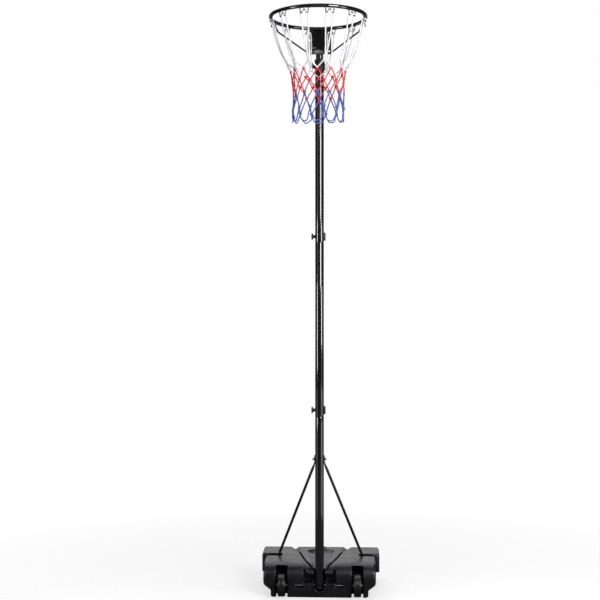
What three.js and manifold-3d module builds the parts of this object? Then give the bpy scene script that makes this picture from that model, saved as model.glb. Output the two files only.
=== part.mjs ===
// A free-standing netball post: a wheeled tank base, a three-piece steel pole with two braces, and
// a sliding tube that carries the ring and its net.
// Millimetres, +Z up. The origin is on the floor on the pole's axis. The ring reaches out towards
// -Y and the base reaches back towards +Y.
import * as THREE from 'three';
import { mergeVertices } from 'three/addons/utils/BufferGeometryUtils.js';
import Module from 'manifold-3d';

const wasm = await Module();
wasm.setup();

// Driving dimensions
const clearance = 0.3; // gap between pieces that seat on each other
const overrun = 6; // how far a cut runs past the face that it opens

const weld = 1; // how far two forms that are joined run into each other

const pole = { radius: 19, wall: 1.5, neckLength: 75, shoulder: 6, endBelowAxle: 10, plugGap: 1.5 };
const sectionLengths = { lower: 743, middle: 758, upper: 791 };
const innerPole = { radius: 16, wall: 1.5, aboveSeam: 89, topBelowPlate: 6, capHeight: 4, capDepth: 8 };
const bushDepth = 10;
const collar = {
  wall: 2, length: 62, lip: 3, edge: 1, skirt: 30, blockHalf: 13, blockReach: 4, bossRadius: 9, bossReach: 4,
};
const knob = {
  gripRadius: 15, gripWidth: 5.6, neckRadius: 7, flare: 2, edge: 1.5, reach: 16.2,
  fluteRadius: 4, fluteOffset: 1.8, flutes: 6, socketWall: 3,
};
const bolt = { radius: 4, headRadius: 8, headHeight: 4, nutRadius: 7.5, nutHeight: 6.5 };
const saddle = { height: 35, half: 12, reach: 7.4, rounding: 2, corner: 4 };
const gripStart = 5.7; // where a block that grips the pole starts, this far from the pole's axis
const knobAboveSeam = { lower: 29, middle: 25, top: -26 };

const wheel = {
  radius: 49.5, width: 32, sideInset: 80, floorGap: 2.5,
  hubRadius: 14, rimWall: 9, web: 10, hubExtra: 1.5, crown: 2,
};
const axle = { radius: 4, sideInset: 45, clipRadius: 8, clipWidth: 4, clipGap: 1 };

const tank = {
  top: 145, wall: 4, front: -16, rear: 366, shoulder: 208,
  rearHalf: 266, frontInset: 21, soleInset: 63, stepInset: 54, skirtInset: 18,
  soleRise: 8, stepRise: 33, skirtRise: 60,
  frontRounding: 60, rearRounding: 24, sillRounding: 12, sideRounding: 10,
};
const well = { width: 50, roof: 11, behindWheel: 8, rounding: 40 };
const recess = { half: 71, ledge: 62, back: 8, slotGap: 7 };
const cradle = { gap: 3, rim: 7, reach: 8, belowLedge: 12, rounding: 2.5 };
const axleWindow = { from: 66, to: 108, below: 8, above: 8 };
const boredHalf = 60; // the axle runs in a closed bore this far each side of the pole
// The V's grooves: distance from the middle beside the pole, at their bend and at the rear, how far
// back the bend lies, and their largest sizes
const vee = { throat: 26, bend: 60, rear: 120, bendAt: 52, floor: 34, outer: 22, inner: 18, depth: 46 };
const dish = { centre: 245, radius: 58, depth: 12 };
const chute = { start: 186, drop: 26 };
const filler = { centre: 331, bore: 13, neck: 16, neckHeight: 8, recess: 23, recessDepth: 10 };
const cap = {
  wall: 3, top: 3, edge: 1, lift: 1, flutes: 12, fluteRadius: 2.4, fluteOffset: 1,
  sealWidth: 3, sealHeight: 2,
};
const bracePocket = { innerInset: 94, width: 52, depth: 27, footInset: 13, bossRadius: 11, bossDepth: 30 };
const ballastDepth = 96; // how deep the filling stands over the tank's floor

const brace = {
  radius: 6, tabHalfWidth: 11, tabHalfThickness: 2, bendHalfWidth: 9.4, bendHalfThickness: 3, bendShift: 1.3,
  boltHeight: 602, tabTip: 6, tabTail: 26, taper: 25, footInset: 55, footTab: 22,
  screwRadius: 3, screwHead: 7, screwHeadHeight: 4, screwLength: 22,
};
// The rounded end of a brace's flat tab: how far out each section lies, and how wide it is
const tabEndShares = [[0.95, 0.35], [0.7, 0.72], [0.3, 0.95], [0, 1]];

const hoop = { innerRadius: 190, rodRadius: 8, plateAbove: 8, aboveCollar: 18.7 };
const plate = { width: 102, height: 117, thickness: 3, corner: 6, holeRadius: 4, holeInset: 9 };
const plateHoleShares = [0.205, 0.479, 0.889]; // rows of holes, as shares of the plate's height
const channel = { wall: 2.5, reach: 18, height: 92, top: 6, flange: 14, boltInset: 18 };
const hookWire = { radius: 2, pitch: 10, bend: 5, drop: 31, peak: 15, splay: 2, seatGap: 3 };
const hookCount = 12;
const stay = {
  radius: 3, startAngle: 113, bendX: 160, bendDrop: 38, bendBack: 139, landing: 17, footInset: 5, footRise: 7,
};

const cordRadius = 2.6;
const knot = { half: 6.5, halfDepth: 3.2 };
// The net's rows of knots: how far each hangs under the ring's centreline, and its radius
const netRows = {
  first: { drop: 194, radius: 134 },
  second: { drop: 226, radius: 114 },
  third: { drop: 276, radius: 106 },
  fourth: { drop: 322, radius: 104 },
  fifth: { drop: 385, radius: 109 },
  hem: { drop: 446, radius: 107 },
};

// Values worked out from the driving dimensions
const axleHeight = wheel.radius + wheel.floorGap;
const footHeight = axleHeight - pole.endBelowAxle;
const lowerSeam = footHeight + sectionLengths.lower;
const upperSeam = lowerSeam + sectionLengths.middle;
const mouthHeight = upperSeam + sectionLengths.upper;
const neckRadius = pole.radius - pole.wall - clearance;
const innerBottom = upperSeam + innerPole.aboveSeam;
// The ring's centreline above the floor at its lowest setting
const collarTop = mouthHeight + clearance + collar.lip;
const ringHeight = collarTop + hoop.aboveCollar + plate.height - hoop.plateAbove;
const frontHalf = tank.rearHalf - tank.frontInset;
const wheelCentre = frontHalf - wheel.sideInset;
const axleHalf = frontHalf - axle.sideInset;
const braceFootX = tank.rearHalf - brace.footInset;
const knobHeights = {
  lower: lowerSeam + knobAboveSeam.lower,
  middle: upperSeam + knobAboveSeam.middle,
  top: mouthHeight + knobAboveSeam.top,
};
const ringRadius = hoop.innerRadius + hoop.rodRadius;
const channelFront = -(innerPole.radius + clearance + channel.wall);
const plateBack = channelFront - clearance;
const plateFront = plateBack - plate.thickness;
const ringCentre = plateFront - clearance - hoop.rodRadius - ringRadius;

// How many flats each kind of round form has
const steps = {
  pole: 20, round: 16, rod: 8, bore: 8, hexagon: 6, wheel: 22, knob: 16, flute: 5,
  tankFront: 4, tankRear: 3, dish: 3, corner: 2, plate: 5, arc: 6,
  ring: 36, ringRod: 8, wire: 4, hookBend: 2, cord: 4, twist: 4,
};

const look = {
  blackGloss: new THREE.MeshStandardMaterial({ color: 0x121214, roughness: 0.25, metalness: 0.3 }),
  tankPlastic: new THREE.MeshStandardMaterial({ color: 0x37373b, roughness: 0.55, metalness: 0 }),
  blackPlastic: new THREE.MeshStandardMaterial({ color: 0x1b1b1d, roughness: 0.5, metalness: 0 }),
  zinc: new THREE.MeshStandardMaterial({ color: 0xc4c6c8, roughness: 0.3, metalness: 1 }),
  seal: new THREE.MeshStandardMaterial({ color: 0x222222, roughness: 0.8, metalness: 0 }),
  water: new THREE.MeshStandardMaterial({ color: 0x8aa0ac, roughness: 0.1, metalness: 0 }),
  cordWhite: new THREE.MeshStandardMaterial({ color: 0xf0f0f4, roughness: 0.8, metalness: 0 }),
  cordRed: new THREE.MeshStandardMaterial({ color: 0xd8303a, roughness: 0.8, metalness: 0 }),
  cordBlue: new THREE.MeshStandardMaterial({ color: 0x3a4a9e, roughness: 0.8, metalness: 0 }),
};

// Solids, joins and cuts
function signedVolume(position, index) {
  const [a, b, c] = [new THREE.Vector3(), new THREE.Vector3(), new THREE.Vector3()];
  let sum = 0;
  for (let i = 0; i < index.length; i += 3) {
    a.fromArray(position, index[i] * 3);
    b.fromArray(position, index[i + 1] * 3);
    c.fromArray(position, index[i + 2] * 3);
    sum += a.dot(b.cross(c));
  }
  return sum;
}

// A closed geometry as a solid with its faces pointing out
function solid(geometry) {
  const bare = geometry.clone();
  bare.deleteAttribute('normal');
  bare.deleteAttribute('uv');
  const merged = mergeVertices(bare);
  const position = merged.attributes.position.array;
  const corners = merged.index.array;
  const index = [];
  for (let i = 0; i < corners.length; i += 3) {
    const [a, b, c] = corners.slice(i, i + 3);
    if (a !== b && b !== c && c !== a) index.push(a, b, c);
  }
  if (signedVolume(position, index) < 0) index.reverse();
  return new wasm.Manifold(new wasm.Mesh({
    numProp: 3,
    vertProperties: Float32Array.from(position),
    triVerts: Uint32Array.from(index),
  }));
}

function join(...shapes) {
  return shapes.reduce((whole, shape) => whole.add(shape));
}

function cut(body, ...tools) {
  return tools.reduce((whole, tool) => whole.subtract(tool), body);
}

function geometryOf(body) {
  const mesh = body.getMesh();
  const geometry = new THREE.BufferGeometry();
  geometry.setAttribute('position', new THREE.BufferAttribute(mesh.vertProperties, 3));
  geometry.setIndex(new THREE.BufferAttribute(mesh.triVerts, 1));
  geometry.computeVertexNormals();
  return geometry;
}

function piece(name, body, material, x = 0, y = 0, z = 0) {
  const mesh = new THREE.Mesh(geometryOf(body), material);
  mesh.name = name;
  mesh.position.set(x, y, z);
  return mesh;
}

// Extrusions and revolved forms
const axisX = new THREE.Vector3(1, 0, 0);
const axisY = new THREE.Vector3(0, 1, 0);
const axisZ = new THREE.Vector3(0, 0, 1);

function extruded(shape, length, bevel, curveSegments) {
  const geometry = new THREE.ExtrudeGeometry(shape, {
    depth: length - 2 * bevel,
    bevelEnabled: bevel > 0,
    bevelThickness: bevel,
    bevelSize: bevel,
    bevelOffset: -bevel,
    bevelSegments: 2,
    curveSegments,
  });
  return geometry.translate(0, 0, bevel);
}

// An outline in Y and Z, pushed along X
function alongX(shape, from, to, bevel = 0, curveSegments = steps.arc) {
  const turn = new THREE.Matrix4().makeBasis(axisY, axisZ, axisX);
  return extruded(shape, to - from, bevel, curveSegments).applyMatrix4(turn).translate(from, 0, 0);
}

// An outline in X and Z, pushed along Y
function alongY(shape, from, to, bevel = 0, curveSegments = steps.arc) {
  const turn = new THREE.Matrix4().makeBasis(axisX, axisZ, axisY.clone().negate());
  return extruded(shape, to - from, bevel, curveSegments).applyMatrix4(turn).translate(0, to, 0);
}

// An outline in X and Y, pushed along Z
function alongZ(shape, from, to, bevel = 0, curveSegments = steps.arc) {
  return extruded(shape, to - from, bevel, curveSegments).translate(0, 0, from);
}

function outline(points) {
  return new THREE.Shape(points.map(([x, y]) => new THREE.Vector2(x, y)));
}

function roundedRectangle(left, bottom, right, top, radius) {
  const shape = new THREE.Shape();
  shape.absarc(right - radius, bottom + radius, radius, -Math.PI / 2, 0);
  shape.absarc(right - radius, top - radius, radius, 0, Math.PI / 2);
  shape.absarc(left + radius, top - radius, radius, Math.PI / 2, Math.PI);
  shape.absarc(left + radius, bottom + radius, radius, Math.PI, Math.PI * 1.5);
  return shape;
}

function block(x0, y0, z0, x1, y1, z1) {
  const geometry = new THREE.BoxGeometry(x1 - x0, y1 - y0, z1 - z0);
  return geometry.translate((x0 + x1) / 2, (y0 + y1) / 2, (z0 + z1) / 2);
}

// A profile of radius and height, revolved about Z. One that keeps off the axis closes on itself.
function revolved(profile, segments) {
  const points = profile.map(([radius, height]) => new THREE.Vector2(radius, height));
  if (profile[0][0] > 0) points.push(points[0].clone());
  return new THREE.LatheGeometry(points, segments).rotateX(Math.PI / 2);
}

function cylinder(radius, from, to, segments = steps.rod) {
  return revolved([[0, from], [radius, from], [radius, to], [0, to]], segments);
}

function tubeForm(radius, bore, from, to, segments) {
  return revolved([[bore, from], [radius, from], [radius, to], [bore, to]], segments);
}

// A domed face: its rim, its rounding and its middle
const domeShares = [[1, 0], [1, 0.4], [0.7, 0.85], [0, 1]];

function domed(radius, from, to) {
  return domeShares.map(([out, up]) => [radius * out, from + (to - from) * up]);
}

// Lays a form that was made along Z along X instead
function toX(geometry) {
  return geometry.rotateY(Math.PI / 2);
}

// The radius of a faceted hole whose flats clear a round piece
function boreFor(radius, segments = steps.bore) {
  return (radius + clearance) / Math.cos(Math.PI / segments);
}

function boreAlongX(radius, from, to) {
  return toX(cylinder(boreFor(radius), from, to, steps.bore));
}

// Joins rings of points, each convex and with as many points, into one closed skin
function loft(rings) {
  const sides = rings[0].length;
  const index = [];
  for (let ring = 0; ring + 1 < rings.length; ring++) {
    for (let side = 0; side < sides; side++) {
      const here = ring * sides + side;
      const next = ring * sides + ((side + 1) % sides);
      index.push(here, next, next + sides, here, next + sides, here + sides);
    }
  }
  const last = (rings.length - 1) * sides;
  for (let side = 1; side + 1 < sides; side++) {
    index.push(0, side + 1, side, last, last + side, last + side + 1);
  }
  const geometry = new THREE.BufferGeometry();
  const values = rings.flat().flatMap((point) => [point.x, point.y, point.z]);
  geometry.setAttribute('position', new THREE.Float32BufferAttribute(values, 3));
  geometry.setIndex(index);
  return geometry;
}

// The points round a section from its two half axes. A level share over one flattens its faces.
function sectionRing(centre, across, lift, sides, levelShare = 1) {
  return Array.from({ length: sides }, (_, side) => {
    const angle = ((side + 0.5) / sides) * Math.PI * 2;
    const rise = THREE.MathUtils.clamp(Math.sin(angle) * levelShare, -1, 1);
    return centre.clone().addScaledVector(across, Math.cos(angle)).addScaledVector(lift, rise);
  });
}

// A rod of straight stretches with mitred corners. Its section stands square to the guide.
function sweptRings(points, radius, sides, guide) {
  return points.map((point, i) => {
    const before = i > 0 ? point.clone().sub(points[i - 1]).normalize() : null;
    const after = i + 1 < points.length ? points[i + 1].clone().sub(point).normalize() : null;
    const direction = new THREE.Vector3().add(before ?? after).add(after ?? before).normalize();
    const across = new THREE.Vector3().crossVectors(direction, guide).normalize();
    const lift = new THREE.Vector3().crossVectors(across, direction).multiplyScalar(radius);
    across.multiplyScalar(radius / direction.dot(after ?? before));
    return sectionRing(point, across, lift, sides);
  });
}

// Pole sections. Each lower section has a drawn-in neck that the next section slips over.
function poleSection(from, to, hasNeck) {
  const bore = pole.radius - pole.wall;
  const neckBore = neckRadius - pole.wall;
  const profile = [[bore, from], [pole.radius, from], [pole.radius, to]];
  if (hasNeck) {
    profile.push([neckRadius, to], [neckRadius, to + pole.neckLength], [neckBore, to + pole.neckLength]);
    profile.push([neckBore, to - pole.shoulder], [bore, to - 2 * pole.shoulder]);
  } else {
    profile.push([bore, to]);
  }
  return solid(revolved(profile, steps.pole));
}

function crossBore(radius, height, from = -pole.radius - overrun, to = pole.radius + overrun) {
  return solid(boreAlongX(radius, from, to).translate(0, 0, height));
}

function lowerPole() {
  const body = poleSection(footHeight, lowerSeam, true);
  return cut(
    body,
    crossBore(axle.radius, axleHeight),
    crossBore(bolt.radius, brace.boltHeight),
    crossBore(bolt.radius, knobHeights.lower),
  );
}

function middlePole() {
  const body = poleSection(lowerSeam + clearance, upperSeam, true);
  return cut(body, crossBore(bolt.radius, knobHeights.lower), crossBore(bolt.radius, knobHeights.middle));
}

function upperPole() {
  const body = poleSection(upperSeam + clearance, mouthHeight, false);
  const screwHole = crossBore(bolt.radius, knobHeights.top, -pole.radius - overrun, 0);
  return cut(body, crossBore(bolt.radius, knobHeights.middle), screwHole);
}

// The foot cap plugs the pole's lower end, under the axle, with a domed face.
function footCap() {
  const base = footHeight - clearance;
  const plug = pole.radius - pole.wall - clearance;
  const plugTop = axleHeight - axle.radius - pole.plugGap;
  const dome = domed(pole.radius, base, base - pole.endBelowAxle / 2).reverse();
  return solid(revolved([...dome, [plug, base], [plug, plugTop], [0, plugTop]], steps.pole));
}

// The knobs' bolts, saddles and the top collar
function throughBolt() {
  const headFace = pole.radius + saddle.reach;
  const headBack = headFace - bolt.headHeight;
  const tip = -(pole.radius + knob.reach - knob.socketWall);
  const shank = solid(toX(cylinder(bolt.radius, tip, headBack)));
  const profile = [[0, headBack - weld], ...domed(bolt.headRadius, headBack - weld, headFace)];
  return join(shank, solid(toX(revolved(profile, steps.bore))));
}

function saddleBlock() {
  const outer = pole.radius + saddle.reach;
  const shape = roundedRectangle(gripStart, -saddle.half, outer, saddle.half, saddle.corner);
  const body = solid(alongZ(shape, -saddle.height / 2, saddle.height / 2, saddle.rounding, steps.corner));
  const poleSeat = cylinder(boreFor(pole.radius, steps.pole), -saddle.height, saddle.height, steps.pole);
  const shankBore = boreAlongX(bolt.radius, 0, outer + overrun);
  const headSeat = outer - bolt.headHeight - weld - clearance;
  const headBore = boreAlongX(bolt.headRadius, headSeat, outer + overrun);
  return cut(body, solid(poleSeat), solid(shankBore), solid(headBore));
}

// A spool-shaped hand knob on the left of the pole, with a socket that the bolt's end runs into
function spoolKnob(start) {
  const outer = pole.radius + knob.reach;
  const gripInner = outer - knob.gripWidth;
  const form = revolved([
    [0, start],
    [knob.neckRadius + knob.flare / 2, start],
    [knob.neckRadius, start + knob.flare],
    [knob.neckRadius, gripInner - knob.flare],
    [knob.gripRadius - knob.edge, gripInner],
    [knob.gripRadius, gripInner + knob.edge],
    [knob.gripRadius, outer - knob.edge],
    [knob.gripRadius - knob.edge, outer],
    [0, outer],
  ], steps.knob);
  const grooves = Array.from({ length: knob.flutes }, (_, flute) => {
    const angle = (flute / knob.flutes) * Math.PI * 2;
    const reach = knob.gripRadius + knob.fluteOffset;
    const groove = cylinder(knob.fluteRadius, gripInner - overrun, outer + overrun, steps.flute);
    return solid(toX(groove).translate(0, reach * Math.cos(angle), reach * Math.sin(angle)));
  });
  const socket = boreAlongX(bolt.radius, start - overrun, outer - knob.socketWall + clearance);
  return cut(solid(toX(form)), ...grooves, solid(socket)).mirror([1, 0, 0]);
}

// The collar caps the pole's mouth, guides the sliding tube and carries the clamp screw.
function topCollar() {
  const outer = pole.radius + clearance + collar.wall;
  const poleSeat = boreFor(pole.radius, steps.pole);
  const guideBore = boreFor(innerPole.radius, steps.pole);
  const skirtOuter = pole.radius - pole.wall - clearance;
  const seat = mouthHeight + clearance;
  const sleeve = solid(revolved([
    [guideBore, mouthHeight - collar.skirt],
    [skirtOuter, mouthHeight - collar.skirt],
    [skirtOuter, seat],
    [poleSeat, seat],
    [poleSeat, mouthHeight - collar.length],
    [outer, mouthHeight - collar.length],
    [outer, seat + collar.lip - collar.edge],
    [outer - collar.edge, seat + collar.lip],
    [guideBore, seat + collar.lip],
  ], steps.pole));
  const low = knobHeights.top - collar.blockHalf;
  const reach = outer + collar.blockReach;
  const shape = roundedRectangle(gripStart, -collar.blockHalf, reach, collar.blockHalf, saddle.corner);
  const cheek = solid(alongZ(shape, low, low + 2 * collar.blockHalf, saddle.rounding, steps.corner));
  const bossForm = toX(cylinder(collar.bossRadius, -outer - collar.bossReach, 0));
  const boss = solid(bossForm.translate(0, 0, knobHeights.top));
  const hollow = cylinder(poleSeat + collar.wall / 2, low - overrun, mouthHeight + overrun, steps.pole);
  const screwBore = crossBore(bolt.radius, knobHeights.top, -outer - collar.bossReach - overrun, 0);
  return cut(join(sleeve, cut(join(cheek, boss), solid(hollow))), screwBore);
}

const clampKnobStart = pole.radius + clearance + collar.wall + collar.bossReach + clearance;

function clampScrew() {
  const tip = innerPole.radius + clearance;
  const end = pole.radius + knob.reach - knob.socketWall;
  return solid(toX(cylinder(bolt.radius, -end, -tip)));
}

// Base tank
function tankProfile(front, rear, frontRounding, rearRounding, inset) {
  const sill = tank.sillRounding - inset / 2;
  const top = tank.top - inset;
  const [near, far] = [front + inset, rear - inset];
  const [nearRadius, farRadius] = [frontRounding - inset, rearRounding - inset];
  const shape = new THREE.Shape();
  shape.absarc(far - sill, inset + sill, sill, -Math.PI / 2, 0);
  shape.absarc(far - farRadius, top - farRadius, farRadius, 0, Math.PI / 2);
  shape.absarc(near + nearRadius, top - nearRadius, nearRadius, Math.PI / 2, Math.PI);
  shape.absarc(near + sill, inset + sill, sill, Math.PI, Math.PI * 1.5);
  return shape;
}

// The whole outer form before its recesses, or the form that lies an even wall inside it
function tankForm(inset) {
  const bevel = tank.sideRounding - inset;
  const reach = tank.shoulder + 2 * tank.rearRounding;
  const frontShape = tankProfile(tank.front, reach, tank.frontRounding, tank.rearRounding, inset);
  const rearShape = tankProfile(tank.shoulder, tank.rear, tank.sillRounding, tank.rearRounding, inset);
  const [near, far] = [frontHalf - inset, tank.rearHalf - inset];
  const frontBody = solid(alongX(frontShape, -near, near, bevel, steps.tankFront));
  const rearBody = solid(alongX(rearShape, -far, far, bevel, steps.tankRear));
  const skirt = [
    [tank.soleInset, 0], [tank.stepInset, tank.soleRise], [tank.stepInset, tank.stepRise],
    [tank.skirtInset, tank.skirtRise], [-overrun, tank.skirtRise + inset],
  ].map(([inwards, z]) => [far - inwards, z]);
  const left = skirt.map(([x, z]) => [-x, z]).reverse();
  const wide = tank.rearHalf + overrun;
  const skirtShape = outline([...skirt, [wide, tank.top + overrun], [-wide, tank.top + overrun], ...left]);
  const envelope = solid(alongY(skirtShape, tank.front - cradle.reach - overrun, tank.rear + overrun));
  return join(frontBody, rearBody).intersect(envelope);
}

// Stations along a groove: the share of the way from its bend to the rear, or to the front below
// zero, and shares of its sizes there. Its inner wall is steep except at the notch in the rear edge.
// In front of the bend it turns in towards the pole, widens and falls.
const veeStations = [
  { along: 1.06, floor: 0.09, outer: 1, inner: 1, depth: 0.34 },
  { along: 0.84, floor: 0.12, outer: 0.8, inner: 0.7, depth: 0.28 },
  { along: 0.66, floor: 0.2, outer: 0.4, inner: 0.11, depth: 0.24 },
  { along: 0, reach: 0, floor: 0.28, outer: 0.4, inner: 0.11, depth: 0.44 },
  { along: -0.1, reach: 0.08, floor: 0.42, outer: 0.4, inner: 0.11, depth: 0.5 },
  { along: -0.35, reach: 0.4, floor: 0.65, outer: 0.5, inner: 0.11, depth: 0.68 },
  { along: -0.65, reach: 0.85, floor: 0.9, outer: 0.5, inner: 0.06, depth: 0.84 },
  { along: -0.9, reach: 1, floor: 1, outer: 0.5, inner: 0, depth: 0.92 },
  { along: -1.5, reach: 1, floor: 1, outer: 0.5, inner: 0, depth: 1 },
];

// How far a groove lies from the middle, behind its bend
function veeX(y) {
  return vee.bend + ((vee.rear - vee.bend) * (y - vee.bendAt)) / (tank.rear - vee.bendAt);
}

function veeGroove(side, grow) {
  const rings = veeStations.map((station) => {
    const y = vee.bendAt + station.along * (station.along > 0 ? tank.rear - vee.bendAt : vee.bendAt);
    const x = station.along > 0 ? veeX(y) : vee.bend - station.reach * (vee.bend - vee.throat);
    const floorEnd = x + vee.floor * station.floor;
    const outer = floorEnd + vee.outer * station.outer + grow;
    const inner = x - vee.inner * station.inner - grow;
    const low = tank.top - vee.depth * station.depth - grow;
    const section = [
      [outer, tank.top], [outer, tank.top + overrun], [inner, tank.top + overrun], [inner, tank.top],
      [x - grow, low], [floorEnd + grow, low],
    ];
    return section.map(([px, pz]) => new THREE.Vector3(side * px, y, pz));
  });
  return solid(loft(rings));
}

// The middle panel falls from the dish towards the pole
function chuteCut(grow) {
  const slotBack = pole.radius + recess.slotGap;
  const fallTo = (y) => (chute.drop * (chute.start - y)) / (chute.start - slotBack);
  const rings = [
    { y: chute.start, half: veeX(chute.start), drop: 0 },
    { y: vee.bendAt, half: vee.bend, drop: fallTo(vee.bendAt) },
    { y: slotBack, half: vee.bend, drop: chute.drop },
    { y: tank.front - overrun, half: vee.bend, drop: chute.drop },
  ].map(({ y, half, drop }) => {
    const low = tank.top - drop - grow;
    const section = [[half, low], [half, tank.top + overrun], [-half, tank.top + overrun], [-half, low]];
    return section.map(([x, z]) => new THREE.Vector3(x, y, z));
  });
  return solid(loft(rings));
}

function dishCut(grow) {
  const sphere = (dish.radius ** 2 + dish.depth ** 2) / (2 * dish.depth);
  const edge = Math.asin(dish.radius / sphere);
  const profile = [];
  for (let step = 0; step <= steps.dish; step++) {
    const angle = (edge * step) / steps.dish;
    profile.push([sphere * Math.sin(angle), sphere * (1 - Math.cos(angle)) - dish.depth - grow]);
  }
  profile.push([dish.radius, overrun], [0, overrun]);
  return solid(revolved(profile, steps.pole).translate(0, dish.centre, tank.top));
}

const fillerFloor = tank.top - filler.recessDepth;

function atFiller(radius, from, to) {
  return solid(cylinder(radius, from, to, steps.round).translate(0, filler.centre, 0));
}

function fillerRecess(grow) {
  return atFiller(filler.recess + grow, fillerFloor - grow, tank.top + overrun);
}

const bracePocketFloor = tank.top - bracePocket.depth;

function bracePocketCut(side, grow) {
  const outer = tank.rearHalf + overrun;
  const pocketInner = tank.rearHalf - bracePocket.innerInset;
  const [x0, x1] = side > 0 ? [pocketInner - grow, outer] : [-outer, -pocketInner + grow];
  const [y0, y1] = [tank.shoulder - bracePocket.width - grow, tank.shoulder + grow];
  return solid(block(x0, y0, bracePocketFloor - grow, x1, y1, tank.top + overrun));
}

const braceFootY = tank.shoulder - bracePocket.footInset;
const braceFootZ = bracePocketFloor + clearance + brace.tabHalfThickness;

// A form about Z, moved to where a brace's foot stands
function atBraceFoot(form, side) {
  return form.translate(side * braceFootX, braceFootY, 0);
}

function wheelWell(side) {
  const roof = tank.top - well.roof;
  const back = wheel.radius + well.behindWheel;
  const shape = new THREE.Shape();
  shape.moveTo(tank.front - overrun, -overrun);
  shape.lineTo(back, -overrun);
  shape.absarc(back - well.rounding, roof - well.rounding, well.rounding, 0, Math.PI / 2);
  shape.lineTo(tank.front - overrun, roof);
  const centre = side * wheelCentre;
  return solid(alongX(shape, centre - well.width / 2, centre + well.width / 2));
}

function axleRun(side) {
  const outer = frontHalf + overrun;
  const half = axle.radius + clearance;
  const clipHalf = axle.clipRadius + axle.clipGap;
  const clipInner = axleHalf - axle.clipWidth - clearance;
  const span = (from, to) => [side * from, side * to].sort((a, b) => a - b);
  const [x0, x1] = span(boredHalf, outer);
  const [clip0, clip1] = span(clipInner, outer);
  return join(
    solid(block(x0, -half, -overrun, x1, half, axleHeight + half)),
    solid(block(clip0, -clipHalf, -overrun, clip1, clipHalf, axleHeight + clipHalf)),
  );
}

function axleWindowCut(side) {
  const [x0, x1] = [side * axleWindow.from, side * axleWindow.to].sort((a, b) => a - b);
  const [low, high] = [axleHeight - axleWindow.below, axleHeight + axleWindow.above];
  return solid(block(x0, tank.front - overrun, low, x1, 0, high));
}

const cradleCentre = recess.ledge - cradle.belowLedge;

// The U-shaped outline of the cradle that the pole's foot stands in
function cradleShape(radius, top) {
  const shape = new THREE.Shape();
  shape.absarc(0, cradleCentre, radius, Math.PI, Math.PI * 2);
  shape.lineTo(radius, top);
  shape.lineTo(-radius, top);
  return shape;
}

function cradleSlot() {
  const shape = cradleShape(pole.radius + cradle.gap, recess.ledge + overrun);
  return solid(alongY(shape, tank.front - cradle.reach - overrun, pole.radius + recess.slotGap));
}

function cradleRim() {
  const shape = cradleShape(pole.radius + cradle.gap + cradle.rim, recess.ledge);
  return solid(alongY(shape, tank.front - cradle.reach, tank.front + overrun, cradle.rounding));
}

// The recess between the front lobes, and the deeper slot that the pole stands in
function poleRecess() {
  const front = tank.front - overrun;
  const top = tank.top + overrun;
  const slot = pole.radius + recess.slotGap;
  return join(
    solid(block(-recess.half, front, recess.ledge, recess.half, recess.back, top)),
    solid(block(-slot, front, recess.ledge, slot, slot, top)),
  );
}

// The space inside the tank. It lies behind the wheel wells, a wall's thickness inside everything.
function tankSpace(extra) {
  const inset = tank.wall + extra;
  const front = wheel.radius + well.behindWheel + inset;
  const limit = solid(block(-tank.rearHalf, front, 0, tank.rearHalf, tank.rear, tank.top));
  const bossLow = bracePocketFloor - bracePocket.bossDepth - extra;
  const bosses = [-1, 1].map((side) => {
    const boss = cylinder(bracePocket.bossRadius + extra, bossLow, tank.top + overrun);
    return solid(atBraceFoot(boss, side));
  });
  return cut(
    tankForm(inset).intersect(limit),
    veeGroove(-1, inset),
    veeGroove(1, inset),
    chuteCut(inset),
    dishCut(inset),
    fillerRecess(inset),
    bracePocketCut(-1, inset),
    bracePocketCut(1, inset),
    ...bosses,
  );
}

function baseTank() {
  const neck = atFiller(filler.neck, fillerFloor - tank.wall / 2, fillerFloor + filler.neckHeight);
  const fillHole = atFiller(filler.bore, fillerFloor - 2 * filler.recessDepth, tank.top + overrun);
  const screwBores = [-1, 1].map((side) => {
    const bore = cylinder(boreFor(brace.screwRadius), braceFootZ - brace.screwLength, tank.top, steps.bore);
    return solid(atBraceFoot(bore, side));
  });
  const shell = cut(
    tankForm(0),
    veeGroove(-1, 0),
    veeGroove(1, 0),
    chuteCut(0),
    dishCut(0),
    fillerRecess(0),
    bracePocketCut(-1, 0),
    bracePocketCut(1, 0),
    poleRecess(),
    wheelWell(-1),
    wheelWell(1),
  );
  return cut(
    join(shell, cradleRim(), neck),
    cradleSlot(),
    crossBore(axle.radius, axleHeight, -boredHalf - overrun, boredHalf + overrun),
    axleRun(-1),
    axleRun(1),
    axleWindowCut(-1),
    axleWindowCut(1),
    tankSpace(0),
    fillHole,
    ...screwBores,
  );
}

function ballast() {
  const level = solid(block(-tank.rearHalf, 0, 0, tank.rearHalf, tank.rear, tank.wall + ballastDepth));
  return tankSpace(clearance).intersect(level);
}

// Filler cap and its sealing ring
const neckTop = fillerFloor + filler.neckHeight;

function capSeal() {
  return solid(tubeForm(filler.neck, filler.neck - cap.sealWidth, 0, cap.sealHeight, steps.round));
}

function fillCap() {
  const bore = boreFor(filler.neck, steps.round);
  const outer = bore + cap.wall;
  const ceiling = cap.sealHeight + clearance;
  const skirtLow = cap.lift - filler.neckHeight;
  const top = ceiling + cap.top;
  const body = solid(revolved([
    [0, ceiling], [bore, ceiling], [bore, skirtLow], [outer, skirtLow],
    [outer, top - cap.edge], [outer - cap.edge, top], [0, top],
  ], steps.round));
  const grooves = Array.from({ length: cap.flutes }, (_, flute) => {
    const angle = (flute / cap.flutes) * Math.PI * 2;
    const reach = outer + cap.fluteOffset;
    const groove = cylinder(cap.fluteRadius, skirtLow - overrun, top + overrun, steps.flute);
    return solid(groove.translate(reach * Math.cos(angle), reach * Math.sin(angle), 0));
  });
  return cut(body, ...grooves);
}

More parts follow.
